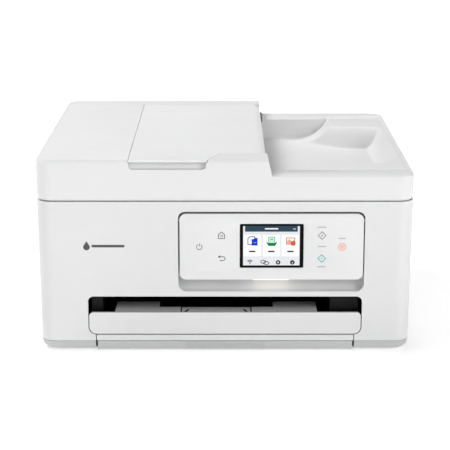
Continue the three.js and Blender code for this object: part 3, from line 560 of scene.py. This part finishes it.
def well_height(x, y):
    """Z of the well's surface: a ramp up to the right, walls in front and behind, and the scoop."""
    along = np.clip(x - RAMP_START, 0, RAMP_RADIUS - 1)
    ramp = RAMP_RADIUS - np.sqrt(RAMP_RADIUS**2 - along**2)
    front_share = smooth_step((SHOULDER_Y - y) / SHOULDER_BLEND)
    shoulder = np.maximum(0, RIM_RISE - SHOULDER_SLOPE * (SHOULDER_TOP - x))
    ramp += front_share * (shoulder - ramp)
    ramp = smooth_min(ramp, np.full_like(ramp, RAMP_TOP), blend=6.0 - 5.0 * front_share)
    back = wall_height(BACK_WALL_Y - y, BACK_WALL_RUN, power=3.2)
    front = wall_height(y - FRONT_WALL_Y, FRONT_WALL_RUN, power=3.0)
    well = -smooth_min(-ramp, -np.maximum(back, front), blend=1.5)
    height = smooth_min(well, scoop_height(x, y), blend=2.0)
    return FLOOR_Z + smooth_min(height, np.full_like(height, RIM_RISE), blend=1.4)


def grid_lines(low, high, through, step):
    """Evenly spaced lines from low to high that also pass through one value."""
    parts = [np.linspace(low, through, max(2, round((through - low) / step) + 1))]
    parts.append(np.linspace(through, high, max(2, round((high - through) / step) + 1))[1:])
    return np.concatenate(parts)


def make_well():
    """The well's surface as one smooth block that fills the lid between the feeder and the rim."""
    xs = grid_lines(PLAN_LEFT, PLAN_RIGHT, NOTCH_RIGHT, PLAN_STEP)
    ys = grid_lines(PLAN_FRONT, PLAN_BACK, NOTCH_BACK, PLAN_STEP)
    grid_x, grid_y = np.meshgrid(xs, ys, indexing="ij")
    on_rim = (grid_x > PLAN_RIGHT - SLACK) | (grid_y > PLAN_BACK - SLACK) | (grid_y < PLAN_FRONT + SLACK)
    top = np.where(on_rim, FLOOR_Z + RIM_RISE, well_height(grid_x, grid_y))
    bm = bmesh.new()
    upper, below = {}, {}

    def corner(i, j):
        if (i, j) not in upper:
            upper[i, j] = bm.verts.new(Vector((xs[i], ys[j], top[i, j])) * MM)
            below[upper[i, j]] = bm.verts.new(Vector((xs[i], ys[j], BLOCK_BOTTOM_Z)) * MM)
        return upper[i, j]

    for i in range(len(xs) - 1):
        for j in range(len(ys) - 1):
            if xs[i] < NOTCH_RIGHT - SLACK and ys[j] < NOTCH_BACK - SLACK:
                continue
            ring = [corner(i, j), corner(i + 1, j), corner(i + 1, j + 1), corner(i, j + 1)]
            bm.faces.new(ring)
            bm.faces.new([below[vert] for vert in ring[::-1]])
    over_bottom = (BLOCK_BOTTOM_Z + SLACK) * MM
    for edge in [e for e in bm.edges if e.is_boundary and e.verts[0].co.z > over_bottom]:
        loop = edge.link_loops[0]
        a, b = loop.vert, loop.link_loop_next.vert
        bm.faces.new([b, a, below[a], below[b]])
    bmesh.ops.recalc_face_normals(bm, faces=bm.faces[:])
    mesh = bpy.data.meshes.new("output_well_shape")
    bm.to_mesh(mesh)
    bm.free()
    well = new_piece("output_well", mesh, MATERIAL["lid_white"], "lid", smooth_angle=50)


def make_lid():
    """The lid's shell with a window where the well's block sits."""
    shell = rounded("lid_shell", radius=1.0, segments=3, weight=lid_edge_weight)
    plan = [(NOTCH_RIGHT, PLAN_FRONT), (PLAN_RIGHT, PLAN_FRONT), (PLAN_RIGHT, PLAN_BACK),
            (PLAN_LEFT, PLAN_BACK), (PLAN_LEFT, NOTCH_BACK), (NOTCH_RIGHT, NOTCH_BACK)]
    cutter_mesh = plate_mesh("well_window", [plan], BLOCK_BOTTOM_Z - SLACK, WINDOW_TOP_Z, 0.0, facing_up)
    cutter = bpy.data.objects.new("well_window", cutter_mesh)
    scene.collection.objects.link(cutter)
    window = shell.modifiers.new("window", "BOOLEAN")
    window.operation = "DIFFERENCE"
    window.solver = "EXACT"
    window.object = cutter
    bpy.context.view_layer.update()
    shaped = bpy.data.meshes.new_from_object(shell.evaluated_get(bpy.context.evaluated_depsgraph_get()))
    shell.modifiers.clear()
    shell.data = shaped
    bpy.data.objects.remove(cutter)


make_well()
make_lid()


# ---------------------------------------------------------------- feeder cover
COVER_GROWTH = 0.3
COVER_BACK_GROWTH = 0.1
COVER_CORNER = 13.8


def make_feeder_cover():
    """The cover, a little larger than in the CAD so that its seams with the lid are fine lines."""
    low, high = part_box("feeder_cover")
    x0, y0 = low.x / MM - COVER_GROWTH, low.y / MM - COVER_GROWTH
    x1, y1 = high.x / MM, high.y / MM + COVER_BACK_GROWTH
    corner = arc(x0 + COVER_CORNER, y0 + COVER_CORNER, COVER_CORNER, 180, 270, 15)
    outline = [(x1, y0), (x1, y1), (x0, y1)] + corner
    cover = plate("feeder_cover_body", [outline], low.z / MM, high.z / MM, FEEDER_LIT_WHITE, "cover",
                  bevel=0.12, toward=facing_up)
    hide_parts("feeder_cover")


make_feeder_cover()


# ---------------------------------------------------------------- output tray and cassette details
PAPER_X = -9.0
FLAP_TOP_Z = 40.4
FLAP_HALF = 34.6
BED_Z = 38.3
INLAY_DEPTH = 0.2
INLAY_LIFT = 0.03
GRIP_LEFT, GRIP_RIGHT = -39.0, 40.0
HOOK_BOTTOM_Z, HOOK_TOP_Z = 185.4, 191.4
STUD_FRONT_Y, STUD_BACK_Y = 134.0, 139.0


def mirrored(points):
    """The same outline on the other side of the middle of the paper path."""
    return [(2 * PAPER_X - a, b) for a, b in points]


def make_flap_shadow_marks():
    """Painted shade on the stop flap: black marks beside its grip tab, a grey line behind it and black
    strips at its ends.
    """
    # slot is a black film in the shape of the shade beside the tab's slanted side: painted shadow. The grey
    # line is painted shadow along the tab's back edge.
    slot = [(-41.4, -176.1), (-38.6, -176.1), (-35.8, -167.0), (-37.9, -167.0)]
    tab_edge_shadow = [(-37.0, -167.1), (-37.0, -166.5), (19.0, -166.5), (19.0, -167.1)]
    low, high = FLAP_TOP_Z - INLAY_DEPTH, FLAP_TOP_Z + INLAY_LIFT
    plate("flap_tab_side_shadows", [slot, mirrored(slot)], low, high, MATERIAL["inner_black"], "paper_stop",
          toward=facing_up)
    plate("flap_tab_edge_shadow", [tab_edge_shadow], low, high, MATERIAL["inner_grey"], "paper_stop", toward=facing_up)
    # The strips at the flap's ends are black film: painted shadow in the gaps there.
    end = PAPER_X - FLAP_HALF
    end_gap_shadow = [(end - 1.3, -176.5), (end - 0.1, -176.5), (end - 0.1, -158.8), (end - 1.3, -158.8)]
    plate("flap_end_gap_shadows", [end_gap_shadow, mirrored(end_gap_shadow)], BED_Z - 0.1, FLAP_TOP_Z + 0.02, MATERIAL["inner_black"],
          "paper_tray", toward=facing_up)


def make_grip_face():
    """The middle of the cassette's lower edge, where fingers reach under it, in darker grey as painted
    shade of its recess.
    """
    profile = [(-179.4, 10.5), (-179.56, 10.5), (-178.68, 5.4), (-176.6, 2.66), (-176.4, 2.66)]
    bm = bmesh.new()
    ends = [[bm.verts.new(Vector((x, y, z)) * MM) for y, z in profile] for x in (GRIP_LEFT, GRIP_RIGHT)]
    bm.faces.new(ends[0][::-1])
    bm.faces.new(ends[1])
    for i in range(len(profile)):
        j = (i + 1) % len(profile)
        bm.faces.new([ends[0][i], ends[0][j], ends[1][j], ends[1][i]])
    bmesh.ops.recalc_face_normals(bm, faces=bm.faces[:])
    mesh = bpy.data.meshes.new("cassette_grip_face_shape")
    bm.to_mesh(mesh)
    bm.free()
    new_piece("cassette_grip_face", mesh, GRIP_SHADE_GREY, "cassette")


def make_tray_hook():
    """The catch at the far end of the document tray's hinge, dark grey as painted shade of the gap there,
    and the lid's stud it turns on.
    """
    shaded_hook = loop_rounded(40.8, 43.1, 98.0, 129.0, 0.8, 4)
    # The catch is a real piece; its dark grey is painted shade of the gap at the tray's hinge end.
    plate("tray_hook", [shaded_hook], HOOK_BOTTOM_Z, HOOK_TOP_Z, MATERIAL["inner_grey"], "feed_tray", bevel=0.2,
          toward=facing_up)
    stud = loop_circle(45.9, 184.6, 1.5, 20)
    plate("tray_hook_stud", [stud], STUD_FRONT_Y, STUD_BACK_Y, MATERIAL["lid_white"], "lid", bevel=0.3)


make_flap_shadow_marks()
make_grip_face()
make_tray_hook()


# ---------------------------------------------------------------- back of the machine
REAR_FACE = 179.2
PANEL_SCREWS = [(-160.0, 20.0), (160.0, 20.0), (-160.0, 136.0), (160.0, 136.0)]
SCREW_RADIUS = 2.7
INLET_X, INLET_Z = 140.0, 32.0
PIN_OFFSET = 3.4
PIN_RADIUS = 1.2
PIN_FOOT_Y, PIN_TIP_Y = 165.9, 174.5
USB_X, USB_Z = -152.8, 95.5
USB_FOOT_Y, USB_LIP_Y, USB_FACE_Y = 168.1, 178.9, 179.15
TONGUE_FOOT_Y, TONGUE_TIP_Y = 167.9, 177.0


def centred(x, z, half_x, half_z, r):
    """A small rounded rectangle around a middle point."""
    return loop_rounded(x - half_x, x + half_x, z - half_z, z + half_z, r, 3)


def make_power_inlet():
    """Two round pins in the figure-of-eight socket."""
    for side, x in (("left", INLET_X - PIN_OFFSET), ("right", INLET_X + PIN_OFFSET)):
        plate("inlet_pin_" + side, [loop_circle(x, INLET_Z, PIN_RADIUS, 20)], PIN_FOOT_Y, PIN_TIP_Y,
              MATERIAL["steel"], BODY_OF["power_supply"], bevel=0.4)


def make_usb_socket():
    """The folded steel shell of the square data socket and the tongue that carries its contacts."""
    body = BODY_OF["main_board"]
    opening = centred(USB_X, USB_Z, 4.0, 3.7, 0.6)
    flange = centred(USB_X + 0.1, USB_Z, 5.8, 5.4, 0.4)
    liner = centred(USB_X, USB_Z, 4.35, 4.05, 0.6)
    tongue = centred(USB_X, USB_Z, 2.8, 1.8, 0.4)
    plate("usb_flange", [flange, opening], USB_LIP_Y, USB_FACE_Y, MATERIAL["steel"], body)
    plate("usb_liner", [liner, opening], USB_FOOT_Y, USB_LIP_Y, MATERIAL["steel"], body)
    plate("usb_tongue", [tongue], TONGUE_FOOT_Y, TONGUE_TIP_Y, MATERIAL["inner_grey"], body, bevel=0.25)


def make_panel_screws():
    """Cross-head screws that hold the rear panel, with painted shade: a black film for each head's recess
    and a dark ring around it.
    """
    body = BODY_OF["rear_panel"]
    half_cross = [(0.3, 1.5), (0.3, 0.3), (1.5, 0.3), (1.5, -0.3), (0.3, -0.3), (0.3, -1.5)]
    outline = half_cross + [(-a, -b) for a, b in half_cross]
    for i, (x, z) in enumerate(PANEL_SCREWS):
        # The seat is a dark grey ring of film: painted shade around the head.
        seat_shade = [loop_circle(x, z, SCREW_RADIUS + 0.9, 32), loop_circle(x, z, SCREW_RADIUS + 0.1, 32)]
        head = loop_circle(x, z, SCREW_RADIUS, 32)
        # The cross is a black film: painted shade in place of the recess in the head.
        cross_shade = [(x + a, z + b) for a, b in outline]
        foot, top = REAR_FACE - 0.1, REAR_FACE + 0.25
        plate(f"screw_seat_{i}", seat_shade, foot, REAR_FACE + 0.02, MATERIAL["inner_grey"], body)
        plate(f"screw_head_{i}", [head], foot, top, MATERIAL["steel"], body, bevel=0.12)
        plate(f"screw_cross_{i}", [cross_shade], top - 0.05, top + 0.02, MATERIAL["inner_black"], body)


def make_rating_plate():
    """A foil rating plate with dashes in place of its wording."""
    body = BODY_OF["rear_panel"]
    outline = loop_rounded(-96.0, -34.0, 20.0, 38.0, 1.2, 4)
    plate("rating_plate", [outline], REAR_FACE - 0.05, REAR_FACE + 0.08, MATERIAL["base_grey"], body)
    first_x, top_z = -84.0, 35.0
    column_step, row_step = 19, 4
    lines = [
        bar(first_x + column_step * column, top_z - row_step * row, 15.0 - 3 * (row % 2), 1.0)
        for row in range(4)
        for column in range(3)
    ]
    plate("rating_dashes", lines, REAR_FACE + 0.05, REAR_FACE + 0.1, MATERIAL["inner_grey"], body)


make_power_inlet()
make_usb_socket()
make_panel_screws()
make_rating_plate()


# ---------------------------------------------------------------- control panel
FRONT = -179.5
PRINT_DEPTH = 0.02
SCREEN_HOLE = (14.7, 78.2, 87.4, 132.5)
POWER_KEY = (-25.6, 108.9)
BLACK_KEY = (96.5, 120.7)
COLOUR_KEY = (96.5, 97.0)
STOP_KEY = (116.6, 108.9)
DROP = (-138.0, 109.6)
INK_GREY = printed("ink_grey", (0.11, 0.11, 0.115))
INK_PALE = printed("ink_pale", (0.42, 0.42, 0.43))
INK_DARK = printed("ink_dark", (0.075, 0.075, 0.08))
INK_TEAL = printed("ink_teal", (0.03, 0.42, 0.45))
INK_CORAL = printed("ink_coral", (0.86, 0.22, 0.16))
INK_BLUSH = printed("ink_blush", (0.78, 0.66, 0.63))


def make_panel():
    """The panel's front plate, with a window for the screen."""
    low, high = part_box("panel_front")
    x0, z0 = low.x / MM, low.z / MM
    x1, z1 = high.x / MM, high.z / MM
    outline = loop_rounded(x0, x1, z0, z1, 6.5, 14)
    hole = loop_rounded(*SCREEN_HOLE, 1.4, 4)
    panel = plate("panel_front_body", [outline, hole], low.y / MM, high.y / MM, MATERIAL["panel_white"],
                  "panel", bevel=0.55)
    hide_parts("panel_front")


def mark(name, loops, material, body="panel", lift=0.015):
    """Ink printed on the front: a film that stands lift millimetres proud of it."""
    return plate(name, loops, FRONT - lift, FRONT + PRINT_DEPTH, material, body)


def diamond(a, b, r):
    return [(a, b - r), (a + r, b), (a, b + r), (a - r, b)]


def slanted(a, b, s):
    """The slanted four-sided mark inside a start key's diamond."""
    wide, narrow = s * 0.9, s * 0.4
    return [(a - wide, b - s), (a + narrow, b - s * 0.1), (a + wide, b + s), (a - narrow, b + s * 0.1)]


def start_mark(name, key, width, ink):
    mark(name, band(diamond(*key, 3.9), width) + [slanted(*key, 1.4)], ink)


def make_panel_marks():
    """The printed key marks, dashes in place of the wording, and a drop and bar in place of the name."""
    x, z = POWER_KEY
    power = [stroke(arc(x, z, 2.7, 125, 415), 0.7), stroke([(x, z + 0.7), (x, z + 3.5)], 0.75)]
    house = band([(-6.6, 117.6), (-0.4, 117.6), (-0.4, 121.6), (-3.5, 124.3), (-6.6, 121.6)], 0.75)
    house += [stroke([(-5.1, 121.0), (-1.9, 121.0)], 0.5), stroke([(-5.1, 119.5), (-1.9, 119.5)], 0.5)]
    turn = [(-4.6, 98.9), (-2.0, 98.9)] + arc(-2.0, 96.9, 2.0, 90, -90, 12) + [(-5.4, 94.9)]
    back = [stroke(turn, 0.8), [(-7.2, 98.9), (-4.7, 97.3), (-4.7, 100.5)]]
    mark("power_mark", power, INK_GREY)
    mark("home_mark", house, INK_GREY)
    mark("back_mark", back, INK_GREY)
    start_mark("black_start_mark", BLACK_KEY, 0.65, INK_GREY)
    start_mark("colour_start_mark", COLOUR_KEY, 0.8, INK_TEAL)
    mark("stop_tint", [loop_circle(*STOP_KEY, 3.2, 32)], INK_BLUSH)
    ring = [loop_circle(*STOP_KEY, 3.9, 40), loop_circle(*STOP_KEY, 3.3, 40)]
    x, z = STOP_KEY
    triangle = band([(x - 1.8, z + 1.0), (x, z - 2.0), (x + 1.8, z + 1.0)], 0.5)
    mark("stop_mark", ring + triangle, INK_CORAL, lift=0.03)
    dashes = [bar(96.4, 129.2, 8.6, 1.1), bar(96.4, 109.4, 8.2, 1.1), bar(96.4, 88.5, 8.2, 1.1),
              bar(116.7, 117.7, 7.0, 1.1)]
    dots = [loop_circle(96.5, 113.9, 0.4, 12), loop_circle(96.5, 104.4, 0.4, 12)]
    mark("key_dashes", dashes + dots, INK_PALE)
    x, z = DROP
    drop = arc(x, z - 0.8, 3.3, 145, 395, 24) + [(x, z + 5.3)]
    mark("maker_drop", [drop], INK_DARK, body="case")
    mark("maker_bar", [bar(-116.5, 109.8, 33.0, 2.6)], INK_DARK, body="case")


SCREEN_FRONT = -179.3
FILM = 0.03
LIT = {
    "page": lit("lit_page", (0.80, 0.81, 0.84), 0.96),
    "card": lit("lit_card", (1.0, 1.0, 1.0), 0.96),
    "slate": lit("lit_slate", (0.033, 0.068, 0.10), 0.95),
    "blue": lit("lit_blue", (0.006, 0.045, 0.52), 0.95),
    "sky": lit("lit_sky", (0.30, 0.52, 0.95), 0.95),
    "green": lit("lit_green", (0.004, 0.22, 0.06), 0.95),
    "leaf": lit("lit_leaf", (0.22, 0.62, 0.36), 0.9),
    "mint": lit("lit_mint", (0.62, 0.86, 0.74), 0.95),
    "orange": lit("lit_orange", (0.62, 0.13, 0.07), 0.95),
    "peach": lit("lit_peach", (0.80, 0.42, 0.28), 0.95),
    "ink": lit("lit_ink", (0.02, 0.03, 0.045), 0.8),
}


def shown(name, loops, colour, layer):
    """Something on the screen, one film above the layer under it."""
    under = SCREEN_FRONT - FILM * layer
    return plate("screen_" + name, loops, under - FILM, under, LIT[colour], "panel")


def square(a0, a1, b0, b1, r=0.5):
    return loop_rounded(a0, a1, b0, b1, r, 3)


def make_screen_picture():
    """A header, cards for copy, scan and print, and a row of small signs under them."""
    cards = [(18.3, 36.0), (37.6, 54.8), (56.3, 74.1)]
    shown("page", [square(18.0, 74.4, 89.9, 130.3, 0.4)], "page", 0)
    shown("header", [square(19.9, 72.3, 124.6, 130.5)], "slate", 1)
    shown("header_dash", [bar(46.3, 127.6, 13.5, 1.3), bar(69.0, 127.4, 2.6, 0.6)], "card", 2)
    shown("cards", [square(a + 0.2, b - 0.2, 99.3, 121.4, 0.9) for a, b in cards], "card", 1)
    shown("captions", [bar((a + b) / 2, 104.3, 6.6, 1.5) for a, b in cards], "ink", 2)
    sheet = [(22.8, 111.4), (29.6, 111.4), (29.6, 119.4), (24.6, 119.4), (22.8, 117.6)]
    shown("copy_back_sheet", band(sheet, 0.8), "blue", 2)
    shown("copy_front_sheet", [[(26.6, 110.4), (32.4, 110.4), (32.4, 118.2), (29.4, 118.2), (28.4, 117.0),
                               (26.6, 117.0)]], "blue", 3)
    shown("copy_lines", [bar(25.6, 116.0, 2.2, 0.8), bar(29.9, 113.4, 2.6, 0.6)], "sky", 4)
    page = [(42.9, 113.4), (50.0, 113.4), (50.0, 119.4), (42.9, 119.4)]
    shown("scan_sheet", [page], "leaf", 2)
    shown("scan_sheet_face", [square(43.8, 49.1, 113.4, 118.6, 0.2)], "mint", 3)
    shown("scan_sheet_line", [bar(46.6, 116.6, 2.4, 0.7)], "green", 4)
    body = [(41.2, 115.0), (42.6, 113.2), (50.4, 113.2), (51.8, 115.0), (51.4, 112.6), (49.8, 110.0),
            (43.2, 110.0), (41.6, 112.6)]
    shown("scan_body", [body], "green", 5)
    photo = [square(60.8, 69.8, 111.4, 118.6, 0.3), square(61.6, 69.0, 112.2, 117.8, 0.2)]
    shown("print_photo", photo, "orange", 2)
    shown("print_hills", [[(61.8, 112.4), (68.8, 112.4), (68.8, 116.2), (66.4, 114.6), (64.0, 117.2),
                           (61.8, 114.8)]], "peach", 2)
    shown("print_lens", [square(65.4, 70.2, 110.2, 115.0, 1.6)], "orange", 3)
    mast = [stroke([(24.9, 91.0), (24.9, 93.6)], 0.8), stroke(arc(24.9, 91.8, 2.6, 40, 140, 10), 0.7)]
    shown("signal", mast, "ink", 1)
    shown("signal_wave", [stroke(arc(24.9, 91.0, 4.4, 52, 128, 10), 0.6)], "ink", 2)
    for name, a, b in [("link_one", 38.2, 93.6), ("link_two", 41.2, 92.4)]:
        oval = [(a + 2.6 * math.cos(t / 5), b + 1.5 * math.sin(t / 5)) for t in range(31)]
        shown(name, band(oval, 0.7), "ink", 1 if name == "link_one" else 2)
    shown("settings", [loop_circle(53.0, 93.0, 2.3, 24), loop_circle(53.0, 93.0, 0.9, 16)], "ink", 1)
    shown("information", [loop_circle(67.2, 93.0, 2.3, 24)], "ink", 1)
    shown("information_bar", [bar(67.2, 92.6, 1.0, 1.6)], "card", 2)


make_panel()
make_panel_marks()
make_screen_picture()


# ---------------------------------------------------------------- platen pad
def make_pad():
    """A foam-backed sheet: flat on top, where it meets the lid, and rounded off along its lower edges."""
    low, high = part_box("platen_pad")
    middle, half = (low + high) / 2, (high - low) / 2
    steps_x, steps_y, power = 40, 30, 14
    bm = bmesh.new()
    bmesh.ops.create_grid(bm, x_segments=steps_x, y_segments=steps_y, size=1)
    bmesh.ops.solidify(bm, geom=bm.faces[:], thickness=-1.0)
    top = max(v.co.z for v in bm.verts)
    bottom = min(v.co.z for v in bm.verts)
    for vert in bm.verts:
        side = 1.0 if vert.co.z > (top + bottom) / 2 else -1.0
        edge = min(1.0, abs(vert.co.x) ** power + abs(vert.co.y) ** power)
        crown = (1 - edge) ** 0.5
        swell = 1.0 if side > 0 else crown
        vert.co = middle + Vector((vert.co.x * half.x, vert.co.y * half.y, side * half.z * swell))
    mesh = bpy.data.meshes.new("platen_pad_shape")
    bm.to_mesh(mesh)
    bm.free()
    pad = new_piece("platen_pad_cover", mesh, MATERIAL["pad_white"], "lid", smooth_angle=60)
    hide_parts("platen_pad")


make_pad()


# ---------------------------------------------------------------- camera, floor and light
CAMERA_PLACE = (0, -1.6684, 0.5030)
CAMERA_TILT = 75.99
LENS = 123.7
SENSOR = 36
AIM = (0, 0, 0.1)
FLOOR_HALF = 6
# The light that the floor gives off near the machine and far away, and the distances where it changes.
GLOW_START, GLOW_END = 0.7, 3.0
GLOW_NEAR, GLOW_FAR = 0.40, 0.95
# The studio's brightness at the horizon and overhead, and where it fades, as the z of a direction.
HORIZON, OVERHEAD = 1.0, 0.04
FADE_START, FADE_END = 0.04, 0.14


def make_camera():
    """A long lens a little over the machine, looking down at its front."""
    data = bpy.data.cameras.new("camera")
    data.sensor_width = SENSOR
    data.lens = LENS
    camera = bpy.data.objects.new("camera", data)
    camera.location = CAMERA_PLACE
    camera.rotation_euler = (math.radians(CAMERA_TILT), 0, 0)
    scene.collection.objects.link(camera)
    scene.camera = camera


def make_floor():
    """A sheet of pale paper that gives off light, more of it far away, where it meets the bright studio."""
    bm = bmesh.new()
    bmesh.ops.create_grid(bm, x_segments=8, y_segments=8, size=FLOOR_HALF)
    mesh = bpy.data.meshes.new("floor")
    bm.to_mesh(mesh)
    bm.free()
    floor = bpy.data.objects.new("floor", mesh)
    scene.collection.objects.link(floor)
    n = Nodes("floor_paper")
    n.set(Specular_IOR_Level=0.1, Emission_Color=(1, 1, 1, 1))
    n.colours(n.noise(0.4, detail=2), (0.90, 0.90, 0.90), (0.93, 0.93, 0.93))
    n.rough(n.noise(0.2), 0.7, 0.8)
    distance = n.add("ShaderNodeVectorMath", operation="LENGTH")
    n.link(n.place, distance.inputs[0])
    glow = n.ramp(distance.outputs["Value"], GLOW_NEAR, GLOW_FAR, GLOW_START, GLOW_END)
    n.link(glow, n.shader.inputs["Emission Strength"])
    mesh.materials.append(n.material)


def make_world():
    """A plain studio that is bright around the horizon and dim overhead."""
    world = bpy.data.worlds.new("studio")
    world.use_nodes = True
    tree = world.node_tree
    place = tree.nodes.new("ShaderNodeTexCoord")
    axes = tree.nodes.new("ShaderNodeSeparateXYZ")
    fade = tree.nodes.new("ShaderNodeMapRange")
    fade.inputs["From Min"].default_value = FADE_START
    fade.inputs["From Max"].default_value = FADE_END
    fade.inputs["To Min"].default_value = HORIZON
    fade.inputs["To Max"].default_value = OVERHEAD
    tree.links.new(place.outputs["Generated"], axes.inputs["Vector"])
    tree.links.new(axes.outputs["Z"], fade.inputs["Value"])
    background = tree.nodes["Background"]
    background.inputs["Color"].default_value = (1, 1, 1, 1)
    tree.links.new(fade.outputs["Result"], background.inputs["Strength"])
    scene.world = world


def softbox(name, azimuth, elevation, distance, size, power):
    """A round soft light aimed at the machine; azimuth 0 is in front of it and 90 at its right."""
    data = bpy.data.lights.new(name, "AREA")
    data.shape = "DISK"
    data.size = size
    data.energy = power
    lamp = bpy.data.objects.new(name, data)
    around, up = math.radians(azimuth), math.radians(elevation)
    flat = distance * math.cos(up)
    offset = Vector((flat * math.sin(around), -flat * math.cos(around), distance * math.sin(up)))
    lamp.location = Vector(AIM) + offset
    lamp.rotation_euler = (-offset).to_track_quat("-Z", "Y").to_euler()
    scene.collection.objects.link(lamp)


def make_light():
    """Six softboxes around the machine, strongest at its front right and back left."""
    softbox("front", azimuth=0, elevation=25, distance=3.2, size=1.6, power=5)
    softbox("front_left", azimuth=-40, elevation=25, distance=3.0, size=1.6, power=13)
    softbox("front_right", azimuth=50, elevation=25, distance=3.0, size=1.6, power=39)
    softbox("left", azimuth=-90, elevation=64, distance=2.8, size=1.4, power=25)
    softbox("back_left", azimuth=-125, elevation=50, distance=2.8, size=1.4, power=37)
    softbox("back", azimuth=180, elevation=58, distance=2.6, size=1.0, power=16)
    scene.view_settings.view_transform = "Standard"


make_camera()
make_floor()
make_world()
make_light()
